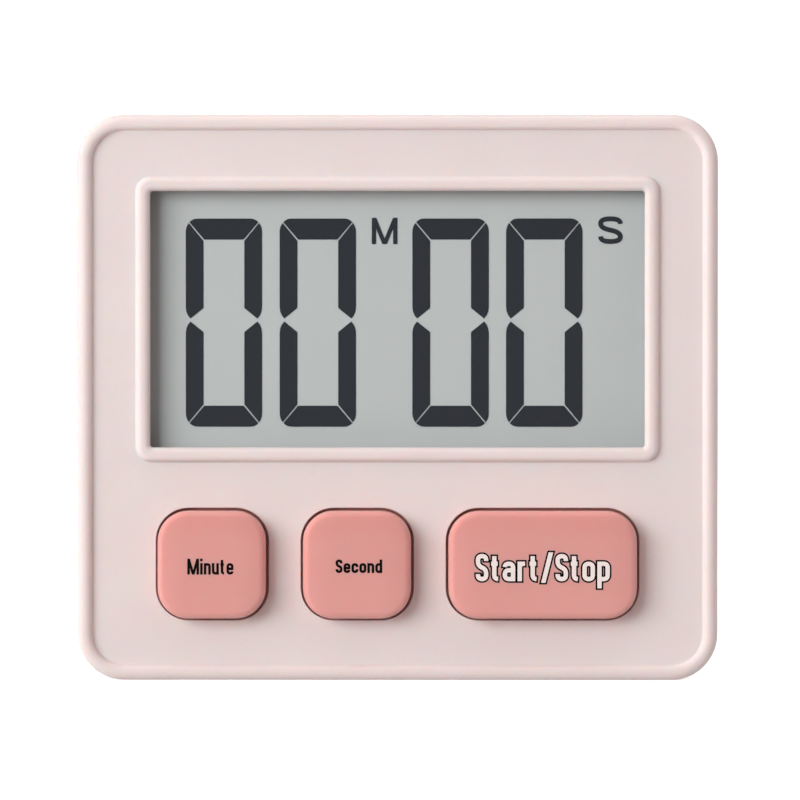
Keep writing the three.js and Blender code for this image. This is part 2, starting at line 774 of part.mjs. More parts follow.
function buzzerCeramic() {
  const back = BUZZER.seat - BUZZER.thickness;
  return disc(BUZZER.x, BUZZER.z, BUZZER.ceramicR, back - BUZZER.thickness, back, 32);
}

// An insulated wire through a few points, given as [x, depth, z].
function insulatedWire(points) {
  const places = points.map(([x, depth, z]) => new THREE.Vector3(x, atDepth(depth), z));
  return wire(new THREE.CatmullRomCurve3(places), WIRE_R, 12);
}

function buzzerWire(startX, startDepth, startZ, padX) {
  const { climb, lift } = BUZZER_WIRE;
  return insulatedWire([
    [startX, startDepth - CLEARANCE, startZ],
    [startX, startDepth - WIRE_RISE, startZ],
    [(startX + padX) / 2, BOARD_BACK + lift, startZ + climb / 2],
    [padX, BOARD_BACK + WIRE_RISE, startZ + climb],
    [padX, BOARD_BACK + CLEARANCE, startZ + climb],
  ]);
}

function batteryWire(side) {
  const x = side * (BAY.width / 2 - CONTACT.gap - CONTACT.thickness / 2);
  const padX = side * BATTERY_PAD.x;
  const padZ = BOARD.top - BATTERY_PAD.below;
  const middleZ = (CONTACT.tailEnd + padZ) / 2 - BATTERY_WIRE.sag;
  return insulatedWire([
    [x, CELL_DEPTH, CONTACT.tailEnd - CLEARANCE],
    [x, CELL_DEPTH, CONTACT.tailEnd - WIRE_RISE],
    [(x + padX) / 2, CELL_DEPTH - BATTERY_WIRE.forward, middleZ],
    [padX, BOARD_BACK + WIRE_RISE, padZ],
    [padX, BOARD_BACK + CLEARANCE, padZ],
  ]);
}

// ---- Assembly -----------------------------------------------------------------------------

const timer = new THREE.Group();

function addPart(name, finish, body) {
  const { vertProperties, triVerts } = body.getMesh();
  const geometry = new THREE.BufferGeometry();
  geometry.setAttribute("position", new THREE.BufferAttribute(vertProperties, 3));
  geometry.setIndex(new THREE.BufferAttribute(triVerts, 1));
  geometry.computeVertexNormals();
  const mesh = new THREE.Mesh(geometry, finish);
  mesh.name = name;
  timer.add(mesh);
}

function addCase() {
  addPart("front_shell", MATERIALS.shell, frontShell());
  addPart("rear_shell", MATERIALS.shell, rearShell());
  addPart("battery_door", MATERIALS.shell, batteryDoor());
  addPart("stand", MATERIALS.shell, stand());
  addPart("magnet_left", MATERIALS.steel, magnet(-1));
  addPart("magnet_right", MATERIALS.steel, magnet(1));
  SCREW_PLACES.forEach((place, i) =>
    addPart(`case_screw_${i + 1}`, MATERIALS.steel, caseScrew(place)),
  );
}

function addDisplay() {
  const { thickness } = GLASS;
  const front = stackSheet(POLARIZER.inset, 0, STACK_FRONT, POLARIZER.thickness);
  const frontGlass = stackSheet(0, 0, GLASS_FRONT, thickness);
  const rearGlass = stackSheet(0, LEDGE_HEIGHT, REAR_GLASS_FRONT, thickness);
  const { inset } = REFLECTOR;
  const reflector = stackSheet(inset, LEDGE_HEIGHT, REFLECTOR_FRONT, REFLECTOR.thickness);
  addPart("lcd_window", MATERIALS.clear, windowPane());
  addPart("lcd_front_polarizer", MATERIALS.polarizer, front);
  addPart("lcd_front_glass", MATERIALS.glass, frontGlass);
  addPart("lcd_rear_glass", MATERIALS.glass, rearGlass);
  addPart("lcd_rear_reflector", MATERIALS.reflector, reflector);
  addPart("lcd_holder", MATERIALS.holder, lcdHolder());
  addPart("zebra_strip", MATERIALS.zebra, zebraStrip());
}

function addButtons() {
  for (const key of KEYS) {
    addPart(`${key.name}_button`, MATERIALS.key, keyCap(key));
    addPart(`${key.name}_dome`, MATERIALS.silicone, dome(key));
    addPart(`${key.name}_carbon_pill`, MATERIALS.carbon, carbonPill(key));
  }
}

function addBoard() {
  addPart("main_board", MATERIALS.board, mainBoard());
  addPart("chip_blob", MATERIALS.epoxy, chipBlob());
  addPart("crystal", MATERIALS.steel, lying(CRYSTAL));
  addPart("capacitor_1", MATERIALS.capacitor, upright(SLEEVE_CAPACITOR));
  addPart("capacitor_2", MATERIALS.resistor, blockCapacitor());
  addPart("resistor", MATERIALS.resistor, lying(RESISTOR));
  addPart("transistor", MATERIALS.epoxy, transistor());
  addPart("inductor", MATERIALS.ferrite, upright(INDUCTOR));
  BOARD_SCREW_PLACES.forEach((place, i) =>
    addPart(`board_screw_${i + 1}`, MATERIALS.steel, boardScrew(place)),
  );
}

function addPower() {
  addPart("battery_cell", MATERIALS.cell, batteryCell());
  addPart("battery_spring", MATERIALS.steel, batterySpring());
  addPart("battery_positive_plate", MATERIALS.steel, positivePlate());
  addPart("battery_wire_negative", MATERIALS.blackWire, batteryWire(-1));
  addPart("battery_wire_positive", MATERIALS.redWire, batteryWire(1));
}

function addBuzzer() {
  const { x, z, seat, thickness } = BUZZER;
  const { redPad, blackPad, blackX, blackBelow } = BUZZER_WIRE;
  const red = buzzerWire(x, seat - 2 * thickness, z, redPad);
  const black = buzzerWire(x + blackX, seat - thickness, z - blackBelow, blackPad);
  addPart("buzzer_brass_disc", MATERIALS.brass, buzzerBrass());
  addPart("buzzer_ceramic", MATERIALS.ceramic, buzzerCeramic());
  addPart("buzzer_wire_red", MATERIALS.redWire, red);
  addPart("buzzer_wire_black", MATERIALS.blackWire, black);
}

addCase();
addDisplay();
addButtons();
addBoard();
addPower();
addBuzzer();

export default timer;
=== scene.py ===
import json
import math
from collections import namedtuple

import bmesh
import bpy
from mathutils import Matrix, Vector


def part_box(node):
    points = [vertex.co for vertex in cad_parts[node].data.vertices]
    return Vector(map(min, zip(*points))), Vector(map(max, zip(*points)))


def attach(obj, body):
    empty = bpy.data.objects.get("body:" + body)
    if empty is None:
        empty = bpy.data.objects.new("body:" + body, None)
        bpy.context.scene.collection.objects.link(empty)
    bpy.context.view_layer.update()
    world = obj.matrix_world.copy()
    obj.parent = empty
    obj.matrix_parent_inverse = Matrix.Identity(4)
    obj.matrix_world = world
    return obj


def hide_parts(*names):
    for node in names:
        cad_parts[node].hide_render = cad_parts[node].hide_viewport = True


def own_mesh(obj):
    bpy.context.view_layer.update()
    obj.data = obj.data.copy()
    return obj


# The looks of a lab timer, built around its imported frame. Sizes are in millimetres and become
# metres in build(). Depths are measured backwards from the crest of the front rim.

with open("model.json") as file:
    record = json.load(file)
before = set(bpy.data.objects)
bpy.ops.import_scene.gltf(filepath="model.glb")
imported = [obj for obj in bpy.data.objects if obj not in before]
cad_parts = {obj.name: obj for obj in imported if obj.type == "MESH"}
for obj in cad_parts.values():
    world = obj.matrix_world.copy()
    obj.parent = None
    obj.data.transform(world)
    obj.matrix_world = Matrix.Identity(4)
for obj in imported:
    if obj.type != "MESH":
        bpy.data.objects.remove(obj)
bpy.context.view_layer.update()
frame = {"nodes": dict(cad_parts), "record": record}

MM = 0.001
CORNER_STEPS = 12
FILLET_STEPS = 6

Outline = namedtuple("Outline", "x z width height radius")


def node_box(node):
    """Lowest and highest corners of a CAD node, in millimetres."""
    low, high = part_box(node)
    return low / MM, high / MM


# ---- Places read from the frame ----

FRONT_LOW, FRONT_HIGH = node_box("front_shell")
CREST_Y = FRONT_LOW.y
WIDTH = FRONT_HIGH.x - FRONT_LOW.x
HEIGHT = FRONT_HIGH.z - FRONT_LOW.z
PARTING = FRONT_HIGH.y - CREST_Y
BACK = node_box("rear_shell")[1].y - CREST_Y


def y_at(depth):
    return CREST_Y + depth


def depth_range(node):
    low, high = node_box(node)
    return low.y - CREST_Y, high.y - CREST_Y


def middle(node):
    low, high = node_box(node)
    return (low + high) / 2


def size(node):
    low, high = node_box(node)
    return high - low


# Case
CORNER_R = 6.2
WALL = 1.8
RIM_WIDTH = 1.95
OUTER_EDGE_R = 1.1
INNER_EDGE_R = 0.8
EDGE_R = 0.6
SUNK_FACE = 0.9
FACE_BACK = 2.5
BACK_EDGE_R = 1.3
INNER_BACK_EDGE_R = 0.8
SEAM = 0.12
INNER_BACK = BACK - WALL
REACH = 1.0  # how far a cutter runs past the face that it opens
OVERLAP = 0.5  # how far a joined piece runs into its neighbour

CASE = Outline(0, HEIGHT / 2, WIDTH, HEIGHT, CORNER_R)

# Window
PANE_MARGIN = 1.7
PANE_GAP = 0.15
GLASS_GAP = 0.2
SEAT_GAP = 0.1
BEAD_WIDTH = 1.9
BEAD_CREST = 0.03
BEAD_EDGE_R = 0.85
PANE = size("lcd_window")
WINDOW_Z = middle("lcd_window").z
OPENING = Outline(0, WINDOW_Z, PANE.x - 2 * PANE_MARGIN, PANE.z - 2 * PANE_MARGIN, 0.4)
BEAD = Outline(0, WINDOW_Z, OPENING.width + 2 * BEAD_WIDTH, OPENING.height + 2 * BEAD_WIDTH, 2.0)

# Keys
KEY_NAMES = ("minute", "second", "start_stop")
KEY_LIP = 0.9
KEY_GAP = 0.34
KEY_R = 4.02
KEY_EDGE_R = 1.0
KEY_EDGE_TOP = 0.16
# How the crown falls towards its edge: how far in, and the share of KEY_EDGE_TOP
KEY_CROWN = ((2.6, 0), (2.0, 0.06), (1.4, 0.2), (0.8, 0.48), (0.35, 0.76))
KEY_HOLE_EDGE = 0.12
STEM_R = 2.4
KEY_WALL = 1.6
KEY_HOLLOW = -0.5
FLANGE_DEPTHS = (2.6, 3.4)

# Back
DOOR_REBATE = 1.2
DOOR_GAP = 0.3
BAY_WALL = 0.9
BAY_FRONT = 6.7
BAY_HEIGHT = 11.7
BAY_END_GAP = 0.1
SLOT_GAP = 0.2
TAIL_SLOT = (0.5, 1.3)  # half of its width and half of its depth
RECESS_FLOOR = 16.4
RECESS_GAP = 0.35
RECESS_HEADROOM = 0.6
MOUTH_EDGE = 0.25
SMALL_MOUTH_EDGE = 0.15
HINGE_Z = 46.4
HINGE_DEPTH = 17.7
BARREL_R = 1.1
SOCKET_R = 0.95
PIN_R = 0.8
PIN_PLAY = 0.3
MAGNET_GAP = 0.2
MAGNET_CUP_R = 7.4
BUZZER_RING_R = 8.4
BUZZER_ROOM_R = 6.9
SCREW_BOSS_R = 2.7
SCREW_HOLE_R = 1.2
COUNTERBORE_R = 1.95
NOTCH = Outline(0, 6.5, 10, 10, 5)
NOTCH_DEPTH = 1.6
SOUND_HOLE_R = 0.8
SOUND_RING_R = 3.2
SOUND_HOLES = 6
LATCH_WIDTH = 10
LATCH_HEIGHT = 4.75
LATCH_SLIT = 0.6
TAB = (6, 0.8)
TAB_PLACES = (-16, 16)
DOOR_THICKNESS = 1.1
STAND_POCKET = Outline(0, 25.25, 45.1, 48.7, 0.6)
POCKET_WALL = 1.5
STAND_WIDTH = 40
STAND_R = 3
STAND_FLOOR_GAP = 0.4
DOOR_R = 1.5
FRONT_BOSS_R = 2.3
FRONT_PILOT_R = 1.05
BOARD_BOSS_R = 2.0
BOARD_PILOT_R = 0.9
SCREW_NUMBERS = range(1, 5)
CASE_SCREW_HEAD = 1.5
BOARD_SCREW_HEAD = 0.9
LIP_GAP = 0.3
LIP_THICKNESS = 0.8
LIP_REACH = 1.0

# Inside
CONTACT_X = 24.9
CONTACT_SIZE = 8.8
CONTACT_THICKNESS = 0.4
SPRING_TURNS = 4
SPRING_BIG_R = 3.6
SPRING_SMALL_R = 2.2
SPRING_WIRE_R = 0.35
WIRE_R = 0.4
WIRE_RISE = 1.5


def key_outline(name, grow=0.0):
    extent = size(f"{name}_button")
    centre = middle(f"{name}_button")
    trim = 2 * (grow - KEY_LIP)
    return Outline(centre.x, centre.z, extent.x + trim, extent.z + trim, KEY_R + grow)


def cell_axis():
    """The depth and height of the cell's axis."""
    front, back = depth_range("battery_cell")
    return (front + back) / 2, middle("battery_cell").z


# ---- Mesh building ----


def ring(outline, inset, depth):
    """Points of a rectangle with round corners, drawn in by an inset, at a depth."""
    width = outline.width - 2 * inset
    height = outline.height - 2 * inset
    radius = max(outline.radius - inset, 0.02)
    points = []
    for quarter, (side, up) in enumerate(((1, -1), (1, 1), (-1, 1), (-1, -1))):
        x = outline.x + side * (width / 2 - radius)
        z = outline.z + up * (height / 2 - radius)
        for step in range(CORNER_STEPS + 1):
            angle = (quarter - 1 + step / CORNER_STEPS) * math.pi / 2
            points.append((x + radius * math.cos(angle), y_at(depth), z + radius * math.sin(angle)))
    return points


def circle(x, z, radius, depth, sides=48):
    turn = 2 * math.pi / sides
    return [
        (x + radius * math.cos(i * turn), y_at(depth), z + radius * math.sin(i * turn))
        for i in range(sides)
    ]


def arc(across, depth, radius_across, radius_deep, start, end, steps=FILLET_STEPS):
    """Pairs of a place across and a depth, on an ellipse arc between two angles in degrees."""
    pairs = []
    for step in range(steps + 1):
        angle = math.radians(start + (end - start) * step / steps)
        pairs.append((across + radius_across * math.cos(angle),
                      depth + radius_deep * math.sin(angle)))
    return pairs


def new_object(name, mesh):
    made = bpy.data.objects.new(name, mesh)
    bpy.context.scene.collection.objects.link(made)
    return made


def build(name, points, faces):
    """An object from points in millimetres, with doubled points merged and faces turned out."""
    mesh = bpy.data.meshes.new(name)
    mesh.from_pydata([Vector(p) * MM for p in points], [], faces)
    work = bmesh.new()
    work.from_mesh(mesh)
    bmesh.ops.remove_doubles(work, verts=work.verts, dist=1e-7)
    bmesh.ops.dissolve_degenerate(work, edges=work.edges, dist=1e-8)
    bmesh.ops.recalc_face_normals(work, faces=work.faces)
    work.to_mesh(mesh)
    work.free()
    return new_object(name, mesh)


def loft(name, rings):
    """A closed solid through rings with equal counts of points, capped at both ends."""
    count = len(rings[0])
    points = [p for one in rings for p in one]
    faces = []
    for level in range(len(rings) - 1):
        for i in range(count):
            j = (i + 1) % count
            a = level * count
            b = a + count
            faces.append((a + i, a + j, b + j, b + i))
    last = (len(rings) - 1) * count
    faces.append(tuple(range(count)))
    faces.append(tuple(range(last, last + count)))
    return build(name, points, faces)


def rounded(name, outline, profile):
    """A loft of one outline through (inset, depth) pairs."""
    return loft(name, [ring(outline, inset, depth) for inset, depth in profile])


def turned(name, x, z, profile, sides=48):
    """A solid turned about an axis from front to back, through (radius, depth) pairs."""
    return loft(name, [circle(x, z, max(r, 1e-3), depth, sides) for r, depth in profile])


def turned_across(name, depth, z, profile, sides=48):
    """A solid turned about an axis across the case, through (radius, x) pairs."""
    turn = 2 * math.pi / sides
    rings = []
    for radius, x in profile:
        radius = max(radius, 1e-3)
        rings.append([
            (x, y_at(depth) + radius * math.cos(i * turn), z + radius * math.sin(i * turn))
            for i in range(sides)
        ])
    return loft(name, rings)


def slab(name, low, high, edge=0.0):
    """A block between (x, depth, z) corners, with its front and back edges chamfered."""
    outline = Outline((low[0] + high[0]) / 2, (low[2] + high[2]) / 2,
                      high[0] - low[0], high[2] - low[2], max(edge, 0.02))
    if not edge:
        return rounded(name, outline, [(0, low[1]), (0, high[1])])
    return rounded(name, outline, [(edge, low[1]), (0, low[1] + edge),
                                   (0, high[1] - edge), (edge, high[1])])


def tube(name, path, radius, sides=12):
    """A round wire with capped ends along a list of points."""
    path = [Vector(p) for p in path]
    rings = []
    side = None
    for i, point in enumerate(path):
        along = (path[min(i + 1, len(path) - 1)] - path[max(i - 1, 0)]).normalized()
        if side is None:
            side = along.orthogonal().normalized()
        side = (side - along * side.dot(along)).normalized()
        other = along.cross(side)
        rings.append([
            point + radius * (side * math.cos(a) + other * math.sin(a))
            for a in (2 * math.pi * k / sides for k in range(sides))
        ])
    return loft(name, rings)


def apply_modifiers(made):
    graph = bpy.context.evaluated_depsgraph_get()
    mesh = bpy.data.meshes.new_from_object(made.evaluated_get(graph))
    old = made.data
    made.modifiers.clear()
    made.data = mesh
    bpy.data.meshes.remove(old)


def boolean(whole, pieces, operation):
    for piece in pieces:
        modifier = whole.modifiers.new("boolean", "BOOLEAN")
        modifier.operation = operation
        modifier.solver = "MANIFOLD"
        modifier.object = piece
        apply_modifiers(whole)
        bpy.data.objects.remove(piece)
    return whole


def join(whole, *pieces):
    return boolean(whole, pieces, "UNION")


def cut(whole, *pieces):
    return boolean(whole, pieces, "DIFFERENCE")


def flared_cutter(outline, floor, face, edge, floor_fillet=0.1):
    """A cutter for a pocket with a rounded mouth, from its floor to the face that it opens."""
    way = 1 if face > floor else -1
    return rounded("cutter", outline, [
        (floor_fillet, floor), (0, floor + way * floor_fillet),
        *arc(-edge, face - way * edge, edge, way * edge, 0, 90), (-edge, face + way * REACH),
    ])


def flared_bore(x, z, radius, floor, face, edge):
    """A round cutter with a rounded mouth, from its floor back to the face that it opens."""
    return turned("cutter", x, z, [
        (radius, floor), *arc(radius + edge, face - edge, -edge, edge, 0, 90),
        (radius + edge, face + REACH),
    ])


def rod(x, z, radius, front, back):
    """A plain round solid, to join as a boss or to cut as a bore."""
    return turned("cutter", x, z, [(radius, front), (radius, back)], 32)


# ---- Materials ----


class Surface:
    """A procedural material: one Principled shader and the nodes that feed it."""

    def __init__(self, name, color, roughness, metallic=0.0):
        self.material = bpy.data.materials.new(name)
        self.material.use_nodes = True
        self.nodes = self.material.node_tree.nodes
        self.links = self.material.node_tree.links
        self.shader = self.nodes["Principled BSDF"]
        self.place = self.nodes.new("ShaderNodeTexCoord").outputs["Object"]
        self.color = color
        self.roughness = roughness
        self.shader.inputs["Metallic"].default_value = metallic
        self.shader.inputs["Base Color"].default_value = (*color, 1)
        self.shader.inputs["Roughness"].default_value = roughness
        self.height = None

    def noise(self, grain_mm, detail=2.0, stretch=(1, 1, 1)):
        """Noise whose features are about grain_mm across."""
        mapping = self.nodes.new("ShaderNodeMapping")
        mapping.inputs["Scale"].default_value = stretch
        noise = self.nodes.new("ShaderNodeTexNoise")
        noise.inputs["Scale"].default_value = 1 / (grain_mm * MM)
        noise.inputs["Detail"].default_value = detail
        self.links.new(self.place, mapping.inputs["Vector"])
        self.links.new(mapping.outputs["Vector"], noise.inputs["Vector"])
        return noise.outputs["Fac"]

    def spread(self, factor, low, high):
        """The factor's useful middle, 0.3 to 0.7, spread from low to high."""
        spread = self.nodes.new("ShaderNodeMapRange")
        spread.inputs["From Min"].default_value = 0.3
        spread.inputs["From Max"].default_value = 0.7
        spread.inputs["To Min"].default_value = low
        spread.inputs["To Max"].default_value = high
        self.links.new(factor, spread.inputs["Value"])
        return spread.outputs["Result"]

    def mottle(self, factor, amount):
        """Varies the colour from a little darker to a little lighter."""
        mix = self.nodes.new("ShaderNodeMix")
        mix.data_type = "RGBA"
        mix.inputs["A"].default_value = (*(min(1, c * (1 + amount)) for c in self.color), 1)
        mix.inputs["B"].default_value = (*(c * (1 - amount) for c in self.color), 1)
        self.links.new(self.spread(factor, 0, 1), mix.inputs["Factor"])
        self.links.new(mix.outputs["Result"], self.shader.inputs["Base Color"])
        return self

    def vary_roughness(self, factor, amount):
        result = self.spread(factor, self.roughness - amount, self.roughness + amount)
        self.links.new(result, self.shader.inputs["Roughness"])
        return self

    def bump(self, factor, height_mm, strength=1.0):
        """Adds a relief of height_mm. Calls add up."""
        bump = self.nodes.new("ShaderNodeBump")
        bump.inputs["Distance"].default_value = height_mm * MM
        bump.inputs["Strength"].default_value = strength
        self.links.new(factor, bump.inputs["Height"])
        if self.height:
            self.links.new(self.height, bump.inputs["Normal"])
        self.height = bump.outputs["Normal"]
        self.links.new(self.height, self.shader.inputs["Normal"])
        return self

    def set(self, **values):
        """Sets shader sockets by name, with _ for a space."""
        for name, value in values.items():
            self.shader.inputs[name.replace("_", " ")].default_value = value
        return self


def moulded_plastic(name, color, roughness, grain_mm=0.35, relief_mm=0.004):
    surface = Surface(name, color, roughness)
    surface.mottle(surface.noise(9, 3), 0.012)
    surface.vary_roughness(surface.noise(1.5, 4), 0.03)
    surface.bump(surface.noise(grain_mm, 2), relief_mm, 0.5)
    return surface


def clear_sheet(name, color, alpha, roughness=0.04):
    surface = Surface(name, color, roughness)
    surface.vary_roughness(surface.noise(12, 2), 0.015)
    surface.bump(surface.noise(20, 1), 0.01, 0.2)
    surface.mottle(surface.noise(15, 1), 0.02)
    return surface.set(Alpha=alpha)


def metal(name, color, roughness, stretch=(1, 1, 1), grain_mm=0.2):
    surface = Surface(name, color, roughness, 1.0)
    surface.mottle(surface.noise(2, 3), 0.03)
    surface.vary_roughness(surface.noise(grain_mm, 3, stretch), 0.03)
    surface.bump(surface.noise(grain_mm, 2, stretch), 0.001, 0.3)
    return surface


def printed_sleeve(name, color, band_color, band_start_mm):
    """A glossy printed sleeve along X, with a band of another colour at its far end."""
    surface = Surface(name, color, 0.25, 0.4)
    split = surface.nodes.new("ShaderNodeSeparateXYZ")
    edge = surface.nodes.new("ShaderNodeMapRange")
    edge.inputs["From Min"].default_value = band_start_mm * MM
    edge.inputs["From Max"].default_value = (band_start_mm + 0.05) * MM
    mix = surface.nodes.new("ShaderNodeMix")
    mix.data_type = "RGBA"
    mix.inputs["A"].default_value = (*color, 1)
    mix.inputs["B"].default_value = (*band_color, 1)
    surface.links.new(surface.place, split.inputs["Vector"])
    surface.links.new(split.outputs["X"], edge.inputs["Value"])
    surface.links.new(edge.outputs["Result"], mix.inputs["Factor"])
    surface.links.new(mix.outputs["Result"], surface.shader.inputs["Base Color"])
    surface.vary_roughness(surface.noise(0.4, 3), 0.04)
    surface.bump(surface.noise(0.3, 2), 0.001, 0.3)
    return surface


def reflector_film(name, color):
    """The satin metal film behind a liquid crystal display."""
    surface = Surface(name, color, 0.5, 0.15)
    surface.mottle(surface.noise(6, 2), 0.01)
    surface.vary_roughness(surface.noise(0.3, 3), 0.04)
    surface.bump(surface.noise(0.08, 2), 0.002, 0.3)
    return surface


def rubber(name, color, roughness=0.75):
    surface = Surface(name, color, roughness)
    surface.mottle(surface.noise(1.2, 4), 0.06)
    surface.vary_roughness(surface.noise(0.6, 2), 0.06)
    surface.bump(surface.noise(0.15, 2), 0.006, 0.5)
    return surface


# Each material slot's maker and what it is given: mostly a colour and a roughness
FINISHES = {
    "shell_plastic": (moulded_plastic, (0.80, 0.714, 0.71), 0.42),
    "button_plastic": (moulded_plastic, (0.74, 0.336, 0.31), 0.36, 0.25, 0.003),
    "window_plastic": (clear_sheet, (0.3, 0.32, 0.33), 0.012),
    "lcd_glass": (clear_sheet, (0.2, 0.22, 0.22), 0.006),
    "lcd_polarizer": (clear_sheet, (0.2, 0.2, 0.2), 0.01, 0.3),
    "lcd_reflector": (reflector_film, (0.645, 0.69, 0.695)),
    "lcd_segment": (moulded_plastic, (0.022, 0.026, 0.036), 0.4, 0.2, 0.001),
    "legend_black": (moulded_plastic, (0.003, 0.002, 0.002), 0.7, 0.1, 0.002),
    "legend_white": (moulded_plastic, (0.86, 0.76, 0.74), 0.55, 0.1, 0.002),
    "holder_plastic": (moulded_plastic, (0.78, 0.78, 0.75), 0.5),
    "zebra_rubber": (rubber, (0.66, 0.28, 0.36)),
    "board_laminate": (moulded_plastic, (0.02, 0.16, 0.05), 0.35),
    "black_resin": (moulded_plastic, (0.012, 0.012, 0.014), 0.25, 1.5, 0.02),
    "steel": (metal, (0.62, 0.62, 0.63), 0.3),
    "magnet_nickel": (metal, (0.4, 0.39, 0.385), 0.24, (1, 1, 6), 1.2),
    "silicone": (rubber, (0.62, 0.64, 0.63), 0.55),
    "carbon_rubber": (rubber, (0.01, 0.01, 0.01), 0.85),
    "capacitor_sleeve": (moulded_plastic, (0.01, 0.02, 0.06), 0.3),
    "component_ceramic": (moulded_plastic, (0.55, 0.4, 0.22), 0.4),
    "ferrite": (rubber, (0.03, 0.03, 0.033), 0.7),
    "cell_label": (printed_sleeve, (0.02, 0.12, 0.2), (0.6, 0.33, 0.12), 11),
    "brass": (metal, (0.72, 0.5, 0.2), 0.28),
    "piezo_ceramic": (moulded_plastic, (0.7, 0.7, 0.68), 0.35),
    "wire_red": (rubber, (0.45, 0.02, 0.015), 0.45),
    "wire_black": (rubber, (0.012, 0.012, 0.014), 0.45),
}

MATERIALS = {slot: make(slot, *values) for slot, (make, *values) in FINISHES.items()}
MATERIALS["shell_plastic"].set(
    Subsurface_Weight=0.45, Subsurface_Scale=MM, Subsurface_Radius=(1.4, 0.45, 0.3),
    Coat_Weight=0.25, Coat_Roughness=0.3)
MATERIALS["button_plastic"].set(
    Subsurface_Weight=0.45, Subsurface_Scale=MM, Subsurface_Radius=(1.6, 0.45, 0.25),
    Coat_Weight=0.4, Coat_Roughness=0.25)
MATERIALS["legend_black"].set(Specular_IOR_Level=0.08)


# ---- Finishing ----


def smooth(made, angle=40):
    made.data.shade_smooth()
    made.data.set_sharp_from_angle(angle=math.radians(angle))
    weighted = made.modifiers.new("weighted_normals", "WEIGHTED_NORMAL")
    weighted.keep_sharp = True
    weighted.weight = 100


def finish_piece(made, slot, body="case", replaces=(), angle=40):
    """Smooths a piece, gives it its material and fixes it to the frame."""
    made.data.materials.clear()
    made.data.materials.append(MATERIALS[slot].material)
    smooth(made, angle)
    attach(made, body)
    if replaces:
        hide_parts(*replaces)
    return made


def turned_in_place(node, slot, profile, sides=48, name=None, body="case"):
    """A turned piece that replaces a CAD node, through (radius, depth) pairs."""
    centre = middle(node)
    made = turned(name or node + "_visual", centre.x, centre.z, profile, sides)
    return finish_piece(made, slot, body, [node])


def cut_cross(made, node, long, thin, floor):
    """Cuts a cross into the back of a round piece, from half its slots' length and width."""
    centre = middle(node)
    for across, up in ((long, thin), (thin, long)):
        cut(made, slab("cutter", (centre.x - across, floor, centre.z - up),
                       (centre.x + across, BACK + REACH, centre.z + up)))


# ---- Front shell ----


def screw_places(kind):
    """Where the four screws of a kind are, as (x, z)."""
    return [(middle(f"{kind}_{i}").x, middle(f"{kind}_{i}").z) for i in SCREW_NUMBERS]


def hollow_boss(x, z, radius, pilot_radius, end, tip):
    """A screw boss on the inside of the face, with a blind pilot hole."""
    boss = turned("boss", x, z, [(radius, FACE_BACK - OVERLAP), (radius, end)], 32)
    pilot = turned("cutter", x, z, [(pilot_radius, tip - 0.5), (pilot_radius, end - 0.3),
                                    (pilot_radius + 0.3, end), (pilot_radius + 0.3, BACK)], 32)
    return cut(boss, pilot)


def front_bosses():
    case_tip = depth_range("case_screw_1")[0]
    board_tip = depth_range("board_screw_1")[0]
    board_front = depth_range("main_board")[0]
    case_bosses = [hollow_boss(x, z, FRONT_BOSS_R, FRONT_PILOT_R, PARTING, case_tip)
                   for x, z in screw_places("case_screw")]
    board_bosses = [hollow_boss(x, z, BOARD_BOSS_R, BOARD_PILOT_R, board_front, board_tip)
                    for x, z in screw_places("board_screw")]
    return case_bosses + board_bosses


def front_shell():
    body = rounded("front_shell", CASE, [
        (SEAM, PARTING), (0, PARTING - SEAM),
        *arc(OUTER_EDGE_R, OUTER_EDGE_R, OUTER_EDGE_R, OUTER_EDGE_R, 180, 270, 10),
    ])
    sunk = rounded("cutter", CASE, [
        (RIM_WIDTH + 0.1, SUNK_FACE), (RIM_WIDTH + 0.02, SUNK_FACE - 0.08),
        *arc(RIM_WIDTH - INNER_EDGE_R, INNER_EDGE_R, INNER_EDGE_R, INNER_EDGE_R, 0, -90),
        (RIM_WIDTH - INNER_EDGE_R, -REACH),
    ])
    bead = rounded("bead", BEAD, [
        (-0.1, SUNK_FACE + REACH), (-0.1, SUNK_FACE), (-0.02, SUNK_FACE - 0.08),
        *arc(BEAD_EDGE_R, BEAD_CREST + INNER_EDGE_R, BEAD_EDGE_R, INNER_EDGE_R, 180, 270),
    ])
    inside = rounded("cutter", CASE, [
        (WALL, PARTING + REACH), *arc(WALL + EDGE_R, FACE_BACK + EDGE_R, EDGE_R, EDGE_R, 180, 270),
    ])
    window = flared_cutter(OPENING, FACE_BACK + REACH, BEAD_CREST, BEAD_EDGE_R)
    holes = [
        flared_cutter(key_outline(name, KEY_GAP), FACE_BACK + REACH, SUNK_FACE, KEY_HOLE_EDGE)
        for name in KEY_NAMES
    ]
    seat = Outline(0, WINDOW_Z, PANE.x + 2 * PANE_GAP, PANE.z + 2 * PANE_GAP, 1)
    pane_seat = rounded("cutter", seat, [(0, depth_range("lcd_window")[0]),
                                         (0, FACE_BACK + REACH)])
    low, high = node_box("lcd_front_glass")
    glass_seat = slab("cutter", (low.x - GLASS_GAP, low.y - CREST_Y - SEAT_GAP, low.z - GLASS_GAP),
                      (high.x + GLASS_GAP, FACE_BACK + REACH, high.z + GLASS_GAP))
    cut(body, cut(sunk, bead), inside, window, pane_seat, glass_seat, *holes)
    join(body, *front_bosses())
    return finish_piece(body, "shell_plastic", replaces=["front_shell"])


# ---- Keys ----


